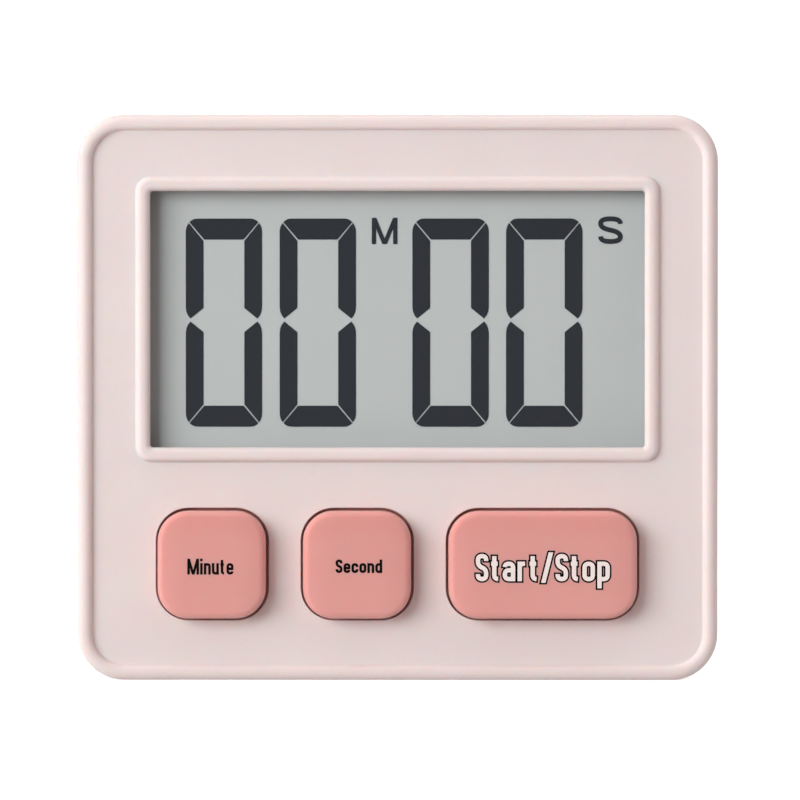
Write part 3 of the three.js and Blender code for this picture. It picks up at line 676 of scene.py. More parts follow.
def key_cap(name):
    outline = key_outline(name)
    crown, stem_end = depth_range(f"{name}_button")
    front, back = FLANGE_DEPTHS
    profile = [(KEY_EDGE_R + inset, crown + KEY_EDGE_TOP * fall) for inset, fall in KEY_CROWN]
    profile += reversed(arc(KEY_EDGE_R, crown + KEY_EDGE_TOP + KEY_EDGE_R, KEY_EDGE_R, KEY_EDGE_R,
                            180, 262, 10))
    profile += [(0, front), (0.1 - KEY_LIP, front), (-KEY_LIP, front + 0.1),
                (-KEY_LIP, back), (KEY_WALL, back), (KEY_WALL, KEY_HOLLOW + 0.4),
                (KEY_WALL + 0.4, KEY_HOLLOW)]
    cap = rounded(f"{name}_key", outline, profile)
    stem = turned("stem", outline.x, outline.z, [
        (STEM_R, KEY_HOLLOW - OVERLAP), (STEM_R, stem_end - 0.15), (STEM_R - 0.15, stem_end),
    ])
    join(cap, stem)
    return finish_piece(cap, "button_plastic", f"{name}_button", [f"{name}_button"])


# ---- Lettering ----

# A narrow sans serif drawn with strokes, in cap heights. A glyph is its width between the
# middles of its outer strokes, and its strokes as (across, up) points. A stroke of two points
# is a straight bar with level ends, or with upright ends if it lies level. Longer ones have
# their corners rounded.
INK = 0.02
LETTER_SPACE = 0.28
WEIGHT = 0.16
CAP = 1 - WEIGHT / 2
LOW = WEIGHT / 2
X_TOP = 0.72
X_LINE = X_TOP - WEIGHT / 2
ACROSS = 0.34
GLYPHS = {
    "M": (0.7, [[(0, 0), (0, 1)], [(0, 1), (0.35, 0)], [(0.35, 0), (0.7, 1)], [(0.7, 0), (0.7, 1)]]),
    "S": (ACROSS, [[(ACROSS, 0.74), (ACROSS, CAP), (0, CAP), (0, 0.57), (ACROSS, 0.43),
                    (ACROSS, LOW), (0, LOW), (0, 0.26)]]),
    "a": (ACROSS, [[(0, 0.52), (0, X_LINE), (ACROSS, X_LINE), (ACROSS, 0)],
                   [(ACROSS, 0.4), (0, 0.4), (0, LOW), (ACROSS, LOW)]]),
    "c": (ACROSS, [[(ACROSS, 0.46), (ACROSS, X_LINE), (0, X_LINE), (0, LOW), (ACROSS, LOW),
                    (ACROSS, 0.26)]]),
    "d": (ACROSS, [[(ACROSS, X_LINE), (0, X_LINE), (0, LOW), (ACROSS, LOW)],
                   [(ACROSS, 0), (ACROSS, 1)]]),
    "e": (ACROSS, [[(0, 0.36), (ACROSS, 0.36)],
                   [(ACROSS, 0.29), (ACROSS, X_LINE), (0, X_LINE), (0, LOW), (ACROSS, LOW),
                    (ACROSS, 0.2)]]),
    "i": (0, [[(0, 0), (0, X_TOP)], [(0, 0.84), (0, 1)]]),
    "n": (ACROSS, [[(0, 0), (0, X_TOP)], [(0, X_LINE), (ACROSS, X_LINE), (ACROSS, 0)]]),
    "o": (ACROSS, [[(0.19, X_LINE), (0, X_LINE), (0, LOW), (0.19, LOW)],
                   [(0.15, X_LINE), (ACROSS, X_LINE), (ACROSS, LOW), (0.15, LOW)]]),
    "p": (ACROSS, [[(0, X_LINE), (ACROSS, X_LINE), (ACROSS, LOW), (0, LOW)],
                   [(0, -0.26), (0, X_TOP)]]),
    "r": (0.2, [[(0, 0), (0, X_TOP)], [(0, 0.44), (0, X_LINE), (0.22, X_LINE)]]),
    "t": (0.22, [[(0.06, 0.92), (0.06, LOW), (0.22, LOW)], [(-0.07, X_LINE), (0.2, X_LINE)]]),
    "u": (ACROSS, [[(0, X_TOP), (0, LOW), (ACROSS, LOW)], [(ACROSS, 0), (ACROSS, X_TOP)]]),
    "/": (0.32, [[(0, -0.06), (0.32, 1.06)]]),
}


def soft_corners(points, radius, steps=6):
    """A line with its corners replaced by curves that start up to a radius before them."""
    path = [Vector(points[0])]
    for i in range(1, len(points) - 1):
        before, corner, after = (Vector(points[k]) for k in (i - 1, i, i + 1))
        share_in = 1 if i == 1 else 0.5
        share_out = 1 if i == len(points) - 2 else 0.5
        cut_in = min(radius, (corner - before).length * share_in)
        cut_out = min(radius, (after - corner).length * share_out)
        start = corner + (before - corner).normalized() * cut_in
        end = corner + (after - corner).normalized() * cut_out
        for step in range(steps + 1):
            t = step / steps
            path.append(start * (1 - t) ** 2 + corner * 2 * t * (1 - t) + end * t ** 2)
    path.append(Vector(points[-1]))
    return [p for i, p in enumerate(path) if i == 0 or (p - path[i - 1]).length > 1e-4]


def bar_outline(start, end, half, grow):
    (x0, z0), (x1, z1) = start, end
    if z0 == z1:
        return [(x0 - grow, z0 - half), (x1 + grow, z0 - half),
                (x1 + grow, z0 + half), (x0 - grow, z0 + half)]
    lean = (x1 - x0) / (z1 - z0)
    half *= math.hypot(1, lean)
    way = math.copysign(grow, z1 - z0)
    x0, x1 = x0 - lean * way, x1 + lean * way
    return [(x0 - half, z0 - way), (x0 + half, z0 - way), (x1 + half, z1 + way),
            (x1 - half, z1 + way)]


def stroke_outline(points, radius, half, grow):
    """The outline of a stroke's ribbon. Its ends are grown."""
    if len(points) == 2:
        return bar_outline(*points, half, grow)
    path = soft_corners(points, radius)
    path[0] = path[0] + (path[0] - path[1]).normalized() * grow
    path[-1] = path[-1] + (path[-1] - path[-2]).normalized() * grow
    left, right = [], []
    for i, point in enumerate(path):
        along = (path[min(i + 1, len(path) - 1)] - path[max(i - 1, 0)]).normalized()
        across = Vector((-along.y, along.x)) * half
        left.append(point + across)
        right.append(point - across)
    return left + right[::-1]


def plate(name, outline, front, thickness):
    """A thin plate from (x, z) points, between two depths."""
    rings = [[(x, y_at(depth), z) for x, z in outline] for depth in (front, front + thickness)]
    return loft(name, rings)


def lettering(name, text, x, z, height, width, front, slot, body="case", grow=0.0):
    """Flat lettering in thin ink, centred on x with its baseline at z. grow thickens it."""
    glyphs = [GLYPHS[char] for char in text]
    natural = sum(wide for wide, strokes in glyphs) + LETTER_SPACE * (len(text) - 1)
    stretch = (width / height - WEIGHT) / natural
    left = -natural / 2
    pieces = []
    for wide, strokes in glyphs:
        for stroke in strokes:
            points = [((left + across) * stretch, up) for across, up in stroke]
            outline = stroke_outline(points, ACROSS / 2 * stretch, WEIGHT / 2 + grow, grow)
            placed = [(x + a * height, z + b * height) for a, b in outline]
            pieces.append(plate("stroke", placed, front, INK))
        left += wide + LETTER_SPACE
    made = pieces[0]
    made.name = name
    join(made, *pieces[1:])
    return finish_piece(made, slot, body)


def legends():
    crown = depth_range("minute_button")[0]
    left, centre, right = (key_outline(name) for name in KEY_NAMES)
    on_crown = crown - INK / 2
    lettering("legend_minute", "Minute", left.x - 0.1, 14.15, 2.1, 6.1, on_crown,
              "legend_black", "minute_button")
    lettering("legend_second", "Second", centre.x + 0.28, 14.4, 1.72, 6.1, on_crown,
              "legend_black", "second_button", 0.02)
    lettering("legend_start_stop_outline", "Start/Stop", right.x, 13.3, 3.6, 17.7,
              on_crown, "legend_black", "start_stop_button", 0.06)
    lettering("legend_start_stop", "Start/Stop", right.x, 13.3, 3.6, 17.7,
              on_crown - INK / 2, "legend_white", "start_stop_button")


# ---- Display ----

DIGIT_WIDTH = 10.15
DIGIT_HEIGHT = 27.7
DIGIT_MIDDLE = 13.5  # from the top of a digit down to the tips of its side segments
DIGIT_TOP = 61.3
DIGIT_LEFTS = (-28.2, -15.7, 1.97, 14.43)
SIDE_STROKE = 2.35
END_STROKE = 2.85
CORNER_ACROSS = 1.55
CORNER_DOWN = 1.8
SEGMENT_GAP = 0.055
SEGMENT_THICKNESS = 0.02
SEGMENT_REST = 0.05  # from the front of the segments to the back of the rear glass
SHEET_GAP = 0.01
SHEET_EDGE = 0.06
# The tip of a side segment: how far across, and how far short of the middle of the digit
TIP = ((SIDE_STROKE, 1.6), (0.62, 0.2), (0.3, 0.6), (0.08, 1.1), (0, 1.7))


def corner_arc(start, end):
    """(across, down) points on a digit's rounded outer corner, by angles from its side."""
    return arc(CORNER_ACROSS, CORNER_DOWN, -CORNER_ACROSS, -CORNER_DOWN, start, end)


def end_segment():
    """The top segment as (across, down) points from the digit's top left corner."""
    left = [(SIDE_STROKE + 2 * SEGMENT_GAP, END_STROKE - SEGMENT_GAP), *corner_arc(47, 90)]
    right = [(DIGIT_WIDTH - across, down) for across, down in reversed(left)]
    return left + right


def side_segment(length):
    """A side segment from its outer corner to its tip, as (across, down) points."""
    return [
        (SIDE_STROKE - SEGMENT_GAP / 2, END_STROKE + 1.5 * SEGMENT_GAP),
        (SIDE_STROKE, END_STROKE + 2.5 * SEGMENT_GAP),
        *((across, length - short) for across, short in TIP),
        *corner_arc(0, 42),
    ]


def digit_zero(index, left, front):
    """The six dark segments of a nought."""
    lower = DIGIT_HEIGHT - DIGIT_MIDDLE
    shapes = {
        "top": end_segment(),
        "bottom": [(a, DIGIT_HEIGHT - d) for a, d in end_segment()],
        "upper_left": side_segment(DIGIT_MIDDLE),
        "upper_right": [(DIGIT_WIDTH - a, d) for a, d in side_segment(DIGIT_MIDDLE)],
        "lower_left": [(a, DIGIT_HEIGHT - d) for a, d in side_segment(lower)],
        "lower_right": [(DIGIT_WIDTH - a, DIGIT_HEIGHT - d) for a, d in side_segment(lower)],
    }
    for place, points in shapes.items():
        outline = [(left + across, DIGIT_TOP - down) for across, down in points]
        made = plate(f"segment_{index}_{place}", outline, front, SEGMENT_THICKNESS)
        finish_piece(made, "lcd_segment")


def clear_piece(made, slot, node):
    """A clear sheet, which casts no shadow and doesn't colour the light round it."""
    finish_piece(made, slot, replaces=[node])
    made.visible_shadow = False
    made.visible_diffuse = False


def display():
    pane_front, pane_back = depth_range("lcd_window")
    pane = Outline(0, WINDOW_Z, PANE.x, PANE.z, 1)
    made = rounded("window_pane", pane, [
        (0.15, pane_front), (0, pane_front + 0.15), (0, pane_back - 0.15), (0.15, pane_back),
    ])
    clear_piece(made, "window_plastic", "lcd_window")
    sheets = {
        "lcd_front_polarizer": "lcd_polarizer",
        "lcd_front_glass": "lcd_glass",
        "lcd_rear_glass": "lcd_glass",
        "lcd_rear_reflector": "lcd_reflector",
    }
    for node, slot in sheets.items():
        low, high = node_box(node)
        front, back = depth_range(node)
        made = slab(node + "_sheet", (low.x, front + SHEET_GAP, low.z),
                    (high.x, back - SHEET_GAP, high.z), SHEET_EDGE)
        if slot == "lcd_reflector":
            finish_piece(made, slot, replaces=[node])
        else:
            clear_piece(made, slot, node)
    segments = depth_range("lcd_rear_glass")[1] - SEGMENT_REST
    for index, left in enumerate(DIGIT_LEFTS, 1):
        digit_zero(index, left, segments)
    lettering("letter_minutes", "M", -1.73, 57.9, 3.5, 3.4, segments, "lcd_segment")
    lettering("letter_seconds", "S", 28.3, 57.95, 3.6, 3.2, segments, "lcd_segment", grow=0.01)


# ---- Rear shell ----


def door_tabs():
    """The lower middle of each tab on the battery door, as (x, z)."""
    low, high = node_box("battery_door")
    return [*((x, high.z - TAB[1]) for x in TAB_PLACES), (0, low.z)]


def rear_tab_slots():
    """Slots in the bay's walls for the battery door's tabs."""
    width, thickness = TAB
    front = depth_range("battery_door")[0] - 2
    return [
        slab("cutter", (x - width / 2 - DOOR_GAP, front, z - SLOT_GAP),
             (x + width / 2 + DOOR_GAP, BACK - DOOR_REBATE + REACH, z + thickness + SLOT_GAP))
        for x, z in door_tabs()
    ]


def battery_bay_cuts(bay):
    low, high = node_box("battery_door")
    door = Outline(0, (low.z + high.z) / 2, high.x - low.x + 2 * DOOR_GAP,
                   high.z - low.z + 2 * DOOR_GAP, DOOR_R + DOOR_GAP)
    tail_low, tail_high = node_box("battery_positive_plate")
    cell_depth = cell_axis()[0]
    half_width, half_depth = TAIL_SLOT
    cuts = [
        flared_cutter(door, BACK - DOOR_REBATE, BACK, MOUTH_EDGE),
        rounded("cutter", bay, [(0.6, BAY_FRONT), (0, BAY_FRONT + 0.6), (0, BACK)]),
        *rear_tab_slots(),
    ]
    for side in (-1, 1):
        x = side * (tail_low.x + tail_high.x) / 2
        cuts.append(slab("cutter", (x - half_width, cell_depth - half_depth, tail_low.z - 1),
                         (x + half_width, cell_depth + half_depth, bay.z)))
    return cuts


def sound_hole_places():
    centre = middle("buzzer_brass_disc")
    around = circle(centre.x, centre.z, SOUND_RING_R, BACK, SOUND_HOLES)
    return [(centre.x, centre.z), *((x, z) for x, _, z in around)]


def stand_recess_cuts():
    low, high = node_box("stand")
    half = STAND_WIDTH / 2 + RECESS_GAP
    bottom = low.z - RECESS_GAP
    top = HINGE_Z + BARREL_R + RECESS_HEADROOM
    recess = Outline(0, (bottom + top) / 2, 2 * half, top - bottom, 0.5)
    reach = high.x + PIN_PLAY
    scoop = arc(0.4, BACK, NOTCH.radius, -NOTCH_DEPTH, 90, 0, 9)
    scoop.append((NOTCH.radius + 0.4, BACK + REACH))
    return [
        flared_cutter(recess, RECESS_FLOOR, BACK, MOUTH_EDGE),
        turned_across("cutter", HINGE_DEPTH, HINGE_Z, [(SOCKET_R, -reach), (SOCKET_R, reach)], 32),
        turned("cutter", NOTCH.x, NOTCH.z, scoop),
    ]


def rear_lip():
    """The lip that centres the rear shell in the front one, with room for the front bosses."""
    outer = WALL + LIP_GAP
    inner = outer + LIP_THICKNESS
    front, back = PARTING - LIP_REACH, PARTING + 1.5
    lip = rounded("lip", CASE, [(outer + 0.15, front), (outer, front + 0.15), (outer, PARTING),
                                (WALL - 0.5, PARTING), (WALL - 0.5, back)])
    cut(lip, rounded("cutter", CASE, [(inner, front - REACH), (inner, back + REACH)]))
    rooms = [rod(x, z, boss_r + LIP_GAP, front - REACH, PARTING)
             for kind, boss_r in (("case_screw", FRONT_BOSS_R), ("board_screw", BOARD_BOSS_R))
             for x, z in screw_places(kind)]
    return cut(lip, *rooms)


def bay_outline():
    half_width = node_box("battery_positive_plate")[1].x + BAY_END_GAP
    return Outline(0, middle("battery_cell").z, 2 * half_width, BAY_HEIGHT, 0.4)


def magnet_places():
    return [(middle(node).x, middle(node).z) for node in ("magnet_left", "magnet_right")]


def rear_walls(bay):
    """The bosses, magnet cups, buzzer ring, battery bay, stand pocket and lip inside the back."""
    deep = INNER_BACK + OVERLAP
    cup_front = depth_range("magnet_left")[0] - WALL
    buzzer = middle("buzzer_brass_disc")
    buzzer_back = depth_range("buzzer_brass_disc")[1]
    bay_box = Outline(0, bay.z, bay.width + 2 * BAY_WALL, bay.height + 2 * BAY_WALL, 0.8)
    return [
        *(rod(x, z, SCREW_BOSS_R, PARTING, deep) for x, z in screw_places("case_screw")),
        *(rod(x, z, MAGNET_CUP_R, cup_front, deep) for x, z in magnet_places()),
        rod(buzzer.x, buzzer.z, BUZZER_RING_R, buzzer_back, deep),
        rounded("bay", bay_box, [(0, depth_range("rear_shell")[0]), (0, deep)]),
        rounded("pocket", STAND_POCKET, [(0, RECESS_FLOOR - POCKET_WALL), (0, deep)]),
        rear_lip(),
    ]


def rear_openings(bay):
    """What is cut from the back once its walls are in."""
    screws = screw_places("case_screw")
    screw_seat = depth_range("case_screw_1")[1] - CASE_SCREW_HEAD
    magnet_r = size("magnet_left").x / 2 + MAGNET_GAP
    magnet_front = depth_range("magnet_left")[0]
    buzzer = middle("buzzer_brass_disc")
    buzzer_back = depth_range("buzzer_brass_disc")[1]
    return [
        *battery_bay_cuts(bay),
        *stand_recess_cuts(),
        *(rod(x, z, SCREW_HOLE_R, PARTING - REACH, BACK) for x, z in screws),
        *(flared_bore(x, z, COUNTERBORE_R, screw_seat, BACK, MOUTH_EDGE) for x, z in screws),
        *(flared_bore(x, z, magnet_r, magnet_front, BACK, 0.2) for x, z in magnet_places()),
        rod(buzzer.x, buzzer.z, BUZZER_ROOM_R, buzzer_back - REACH, INNER_BACK),
        *(flared_bore(x, z, SOUND_HOLE_R, INNER_BACK - REACH, BACK, SMALL_MOUTH_EDGE)
          for x, z in sound_hole_places()),
    ]


def rear_shell():
    body = rounded("rear_shell", CASE, [
        (SEAM, PARTING), (0, PARTING + SEAM),
        *arc(BACK_EDGE_R, BACK - BACK_EDGE_R, BACK_EDGE_R, BACK_EDGE_R, 180, 90),
    ])
    edge = INNER_BACK_EDGE_R
    cut(body, rounded("cutter", CASE, [
        (WALL, PARTING - REACH), *arc(WALL + edge, INNER_BACK - edge, edge, edge, 180, 90),
    ]))
    bay = bay_outline()
    join(body, *rear_walls(bay))
    cut(body, *rear_openings(bay))
    return finish_piece(body, "shell_plastic", replaces=["rear_shell"])


# ---- Door and stand ----


def battery_door():
    low, high = node_box("battery_door")
    front = BACK - DOOR_THICKNESS
    outline = Outline(0, (low.z + high.z) / 2, high.x - low.x, high.z - low.z, DOOR_R)
    door = rounded("battery_door_cover", outline, [
        (0.15, front), (0, front + 0.15), *arc(0.3, BACK - 0.3, 0.3, 0.3, 180, 90),
    ])
    tab_front = low.y - CREST_Y
    width, thickness = TAB
    tabs = [
        slab("tab", (x - width / 2, tab_front, z), (x + width / 2, BACK - OVERLAP, z + thickness), 0.15)
        for x, z in door_tabs()
    ]
    join(door, *tabs)
    slit_x = (LATCH_WIDTH + LATCH_SLIT) / 2
    slits = [
        slab("cutter", (x - LATCH_SLIT / 2, front - REACH, low.z - 1),
             (x + LATCH_SLIT / 2, BACK + REACH, low.z + LATCH_HEIGHT))
        for x in (-slit_x, slit_x)
    ]
    cut(door, *slits, *grip_cutters(low.z + 2.9))
    return finish_piece(door, "shell_plastic", "battery_door", ["battery_door"])


def grip_cutters(z):
    """A fingertip dish in the latch, with three grooves above it and an arrow beyond them."""
    dish = rounded("cutter", Outline(0, z - 0.6, 7.6, 2.6, 1.3), [
        (1.0, BACK - 0.45), (0.5, BACK - 0.35), (0.15, BACK - 0.18), (-0.1, BACK), (-0.1, BACK + 1),
    ])
    grooves = [
        rounded("cutter", Outline(0, z + 1.3 + 0.75 * i, 7 - i, 0.35, 0.17),
                [(0.1, BACK - 0.25), (0, BACK - 0.15), (0, BACK + 1)])
        for i in range(3)
    ]
    arrow = [(-1.5, z + 4.4), (1.5, z + 4.4), (0, z + 6.2)]
    return [dish, *grooves, plate("cutter", arrow, BACK - 0.2, REACH)]


def stand():
    low, high = node_box("stand")
    front = RECESS_FLOOR + STAND_FLOOR_GAP
    half = STAND_WIDTH / 2
    top = HINGE_Z + STAND_R
    outline = Outline(0, (low.z + top) / 2, STAND_WIDTH, top - low.z, STAND_R)
    leg = rounded("stand_leg", outline, [
        (0.2, front), (0, front + 0.2), *arc(0.35, BACK - 0.35, 0.35, 0.35, 180, 90),
    ])
    above = slab("cutter", (-half - 1, front - 1, HINGE_Z), (half + 1, BACK + 1, top + 1))
    panel = Outline(0, (low.z + HINGE_Z) / 2 + 1, STAND_WIDTH - 9, HINGE_Z - low.z - 13, 2)
    grooves = [
        rounded("cutter", Outline(0, low.z + 2 + 1.1 * i, 18, 0.5, 0.25),
                [(0.12, BACK - 0.35), (0, BACK - 0.2), (0, BACK + 1)])
        for i in range(3)
    ]
    cut(leg, above, flared_cutter(panel, BACK - 0.5, BACK, 0.3, 0.3), *grooves)
    reach = high.x
    barrel = turned_across("barrel", HINGE_DEPTH, HINGE_Z, [
        (PIN_R - 0.2, -reach), (PIN_R, 0.2 - reach), (PIN_R, -half), (BARREL_R - 0.1, -half),
        (BARREL_R, 0.1 - half), (BARREL_R, half - 0.1), (BARREL_R - 0.1, half), (PIN_R, half),
        (PIN_R, reach - 0.2), (PIN_R - 0.2, reach),
    ], 32)
    join(leg, barrel)
    return finish_piece(leg, "shell_plastic", "stand", ["stand"])


# ---- Screws and round pieces ----


def screw(node, shaft_r, head_height, pitch):
    """A pan head screw with a crossed recess and a ringed thread."""
    centre = middle(node)
    head_r = size(node).x / 2
    tip, back = depth_range(node)
    seat = back - head_height
    shank_r = shaft_r - 0.17
    profile = [(0, tip), (shaft_r - 0.3, tip + 0.3)]
    for turn in range(int((seat - tip - 0.6) / pitch)):
        depth = tip + 0.5 + turn * pitch
        profile += [(shank_r, depth), (shaft_r, depth + pitch / 2)]
    profile += [(shank_r, seat - 0.1), (shank_r, seat), (head_r, seat)]
    profile += arc(0, seat + 0.45 * head_height, head_r, 0.55 * head_height, 0, 75, 5)
    profile.append((0, back))
    made = turned(node + "_visual", centre.x, centre.z, profile, 32)
    cut_cross(made, node, 0.62 * head_r, 0.15 * head_r, back - 0.5 * head_height)
    return finish_piece(made, "steel", replaces=[node])


def disc(node, slot, edge, body="case"):
    """A flat disc with rounded edges, in the place of a CAD node."""
    flat_r = size(node).x / 2 - edge
    front, back = depth_range(node)
    turned_in_place(node, slot, [
        (0, front), *arc(flat_r, front + edge, edge, edge, -90, 0, 5),
        *arc(flat_r, back - edge, edge, edge, 0, 90, 5), (0, back),
    ], 64, body=body)


# ---- Power ----


def battery_cell():
    low, high = node_box("battery_cell")
    depth, z = cell_axis()
    radius = (high.z - low.z) / 2
    can_r = radius - 0.12
    shoulder = high.x - 1
    can = turned_across("battery_can", depth, z, [
        (0, low.x + 0.25), (3.6, low.x + 0.25), (3.9, low.x), (4.5, low.x),
        (can_r - 0.15, low.x + 0.35), (can_r, low.x + 0.8), (can_r, shoulder - 0.8),
        (can_r - 0.2, shoulder - 0.3), (can_r - 0.7, shoulder), (3.4, shoulder),
        (3.1, shoulder - 0.3), (2.4, shoulder - 0.3), (2.1, shoulder), (1.9, shoulder + 0.2),
        (1.9, high.x - 0.25), (1.65, high.x), (0, high.x),
    ], 64)
    finish_piece(can, "steel", angle=50)
    start, end = low.x + 0.7, shoulder - 0.7
    label = turned_across("battery_cell_label", depth, z, [
        (can_r, start), (radius - 0.05, start), (radius, start + 0.05), (radius, end - 0.05),
        (radius - 0.05, end), (can_r, end),
    ], 64)
    cut(label, turned_across("cutter", depth, z, [(can_r + 0.01, start - 1),
                                                  (can_r + 0.01, end + 1)], 64))
    finish_piece(label, "cell_label", replaces=["battery_cell"])


def contact_plate(name, node):
    """A square contact and the tail that leaves below it."""
    depth, z = cell_axis()
    low = node_box(node)[0]
    x = math.copysign(CONTACT_X, low.x)
    half = CONTACT_SIZE / 2
    thin = CONTACT_THICKNESS / 2
    made = slab(name, (x - thin, depth - half, z - half), (x + thin, depth + half, z + half), 0.08)
    return join(made, slab("tail", (x - thin, depth - 1, low.z), (x + thin, depth + 1, z - half + 1)))


def battery_spring():
    depth, z = cell_axis()
    start = -CONTACT_X + CONTACT_THICKNESS / 2 + SPRING_WIRE_R - 0.1
    end = node_box("battery_spring")[1].x - SPRING_WIRE_R
    steps = 32 * SPRING_TURNS
    path = []
    for i in range(steps + 1):
        t = i / steps
        angle = 2 * math.pi * SPRING_TURNS * t
        radius = SPRING_BIG_R + (SPRING_SMALL_R - SPRING_BIG_R) * t
        path.append((start + (end - start) * t, y_at(depth) + radius * math.cos(angle),
                     z + radius * math.sin(angle)))
    made = contact_plate("battery_spring_contact", "battery_spring")
    join(made, tube("spring", path, SPRING_WIRE_R))
    finish_piece(made, "steel", replaces=["battery_spring"])


def positive_contact():
    depth, z = cell_axis()
    crest = node_box("battery_positive_plate")[0].x
    made = contact_plate("battery_positive_contact", "battery_positive_plate")
    dimple = turned_across("dimple", depth, z, [
        (0, crest), (0.6, crest + 0.02), (1.1, crest + 0.12), (1.4, crest + 0.3),
        (1.5, CONTACT_X),
    ], 32)
    join(made, dimple)
    finish_piece(made, "steel", replaces=["battery_positive_plate"])


# ---- Keypad and board parts ----


def dome(name):
    node = f"{name}_dome"
    front, back = depth_range(node)
    outer = [(0, 0), (2.2, 0), (2.4, 0.2), (2.4, 0.9), (2.6, 1.15), (4.3, 2.7), (4.6, 3.1)]
    inner = [(3.4, 3.1), (3.2, 2.95), (1.9, 2.3), (1.7, 2.2), (0, 2.2)]
    profile = [(r, front + deep) for r, deep in outer]
    profile += [(4.6, back), (3.4, back)]
    profile += [(r, front + deep) for r, deep in inner]
    made = turned_in_place(node, "silicone", profile)
    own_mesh(made)


def chip_blob():
    front, back = depth_range("chip_blob")
    radius = size("chip_blob").x / 2
    turned_in_place("chip_blob", "black_resin", [
        (0, front), *arc(0, front, radius, back - front, 0, 81, 9), (0, back),
    ], 64, "chip_resin_drop")


def electrolytic():
    """A sleeved can with a rolled groove near its foot and a bare top."""
    centre = middle("capacitor_1")
    front, back = depth_range("capacitor_1")
    r = size("capacitor_1").x / 2
    turned_in_place("capacitor_1", "capacitor_sleeve", [
        (0, front), (r - 0.15, front), (r, front + 0.15), (r, front + 0.7), (r - 0.2, front + 0.9),
        (r - 0.2, front + 1.05), (r, front + 1.25), (r, back - 0.25), (r - 0.07, back - 0.08),
        (r - 0.25, back - 0.03), (r - 0.45, back - 0.05), (r - 0.5, back - 0.15), (0, back - 0.15),
    ], name="capacitor_1_sleeve")
    top = turned("capacitor_1_top", centre.x, centre.z, [
        (0, back - 0.14), (r - 0.52, back - 0.14), (r - 0.55, back - 0.06), (0, back - 0.06),
    ])
    cut_cross(top, "capacitor_1", 1, 0.06, back - 0.1)
    finish_piece(top, "steel")


def lying_part(node, slot, profile):
    """A part turned about an axis across the case, as (radius, along) pairs, with bent leads."""
    low, high = node_box(node)
    centre = middle(node)
    depth = centre.y - CREST_Y
    board = depth_range("main_board")[1]
    shape = [(r, low.x + along) for r, along in profile]
    shape += [(r, high.x - along) for r, along in reversed(profile)]
    finish_piece(turned_across(node + "_visual", depth, centre.z, shape, 32), slot,
                 replaces=[node])
    for side, end in ((-1, low.x), (1, high.x)):
        path = [(end - 0.2 * side, depth), (end + 0.5 * side, depth),
                (end + 0.75 * side, depth - 0.12), (end + 0.8 * side, depth - 0.4),
                (end + 0.8 * side, board)]
        lead = tube("lead", [(x, y_at(deep), centre.z) for x, deep in path], 0.15)
        lead.name = f"{node}_lead_{'left' if side < 0 else 'right'}"
        finish_piece(lead, "steel")


def transistor():
    centre = middle("transistor")
    low, high = node_box("transistor")
    front, back = depth_range("transistor")
    r = size("transistor").x / 2
    made = turned("transistor_visual", centre.x, low.z + r, [
        (0, front), (r - 0.1, front), (r, front + 0.1), (r, back - 0.2), (r - 0.2, back), (0, back),
    ])
    cut(made, slab("cutter", (low.x - 1, front - 1, high.z), (high.x + 1, back + 1, high.z + r)))
    finish_piece(made, "black_resin", replaces=["transistor"])


def inductor():
    """A ferrite drum with a copper winding between its flanges."""
    centre = middle("inductor")
    front, back = depth_range("inductor")
    r = size("inductor").x / 2
    turned_in_place("inductor", "ferrite", [
        (0, front), (r - 0.1, front), (r, front + 0.1), (r, front + 0.7), (r - 0.1, front + 0.8),
        (1.2, front + 0.8), (1.2, back - 0.8), (r - 0.1, back - 0.8), (r, back - 0.7),
        (r, back - 0.1), (r - 0.1, back), (0.5, back), (0.5, back - 0.4), (0, back - 0.4),
    ], name="inductor_drum")
    winding_r = r - 0.35
    profile = [(1.21, front + 0.81)]
    turns = 12
    pitch = (back - front - 1.62) / turns
    for turn in range(turns):
        start = front + 0.81 + turn * pitch
        profile += [(winding_r - 0.08, start), (winding_r, start + 0.3 * pitch),
                    (winding_r, start + 0.7 * pitch), (winding_r - 0.08, start + 0.99 * pitch)]
    profile.append((1.21, back - 0.81))
    winding = turned("inductor_winding", centre.x, centre.z, profile)
    cut(winding, rod(centre.x, centre.z, 1.22, front, back))
    finish_piece(winding, "brass")


def bend(points, steps=8):
    """A smooth path through points, with straight tangents at its ends."""
    path = []
    points = [Vector(p) for p in points]
    ends = [2 * points[0] - points[1], *points, 2 * points[-1] - points[-2]]
    for before, start, end, after in zip(ends, ends[1:], ends[2:], ends[3:]):
        for step in range(steps):
            t = step / steps
            path.append(0.5 * (2 * start + (end - before) * t
                               + (2 * before - 5 * start + 4 * end - after) * t ** 2
                               + (3 * start - 3 * end + after - before) * t ** 3))
    return [*path, points[-1]]


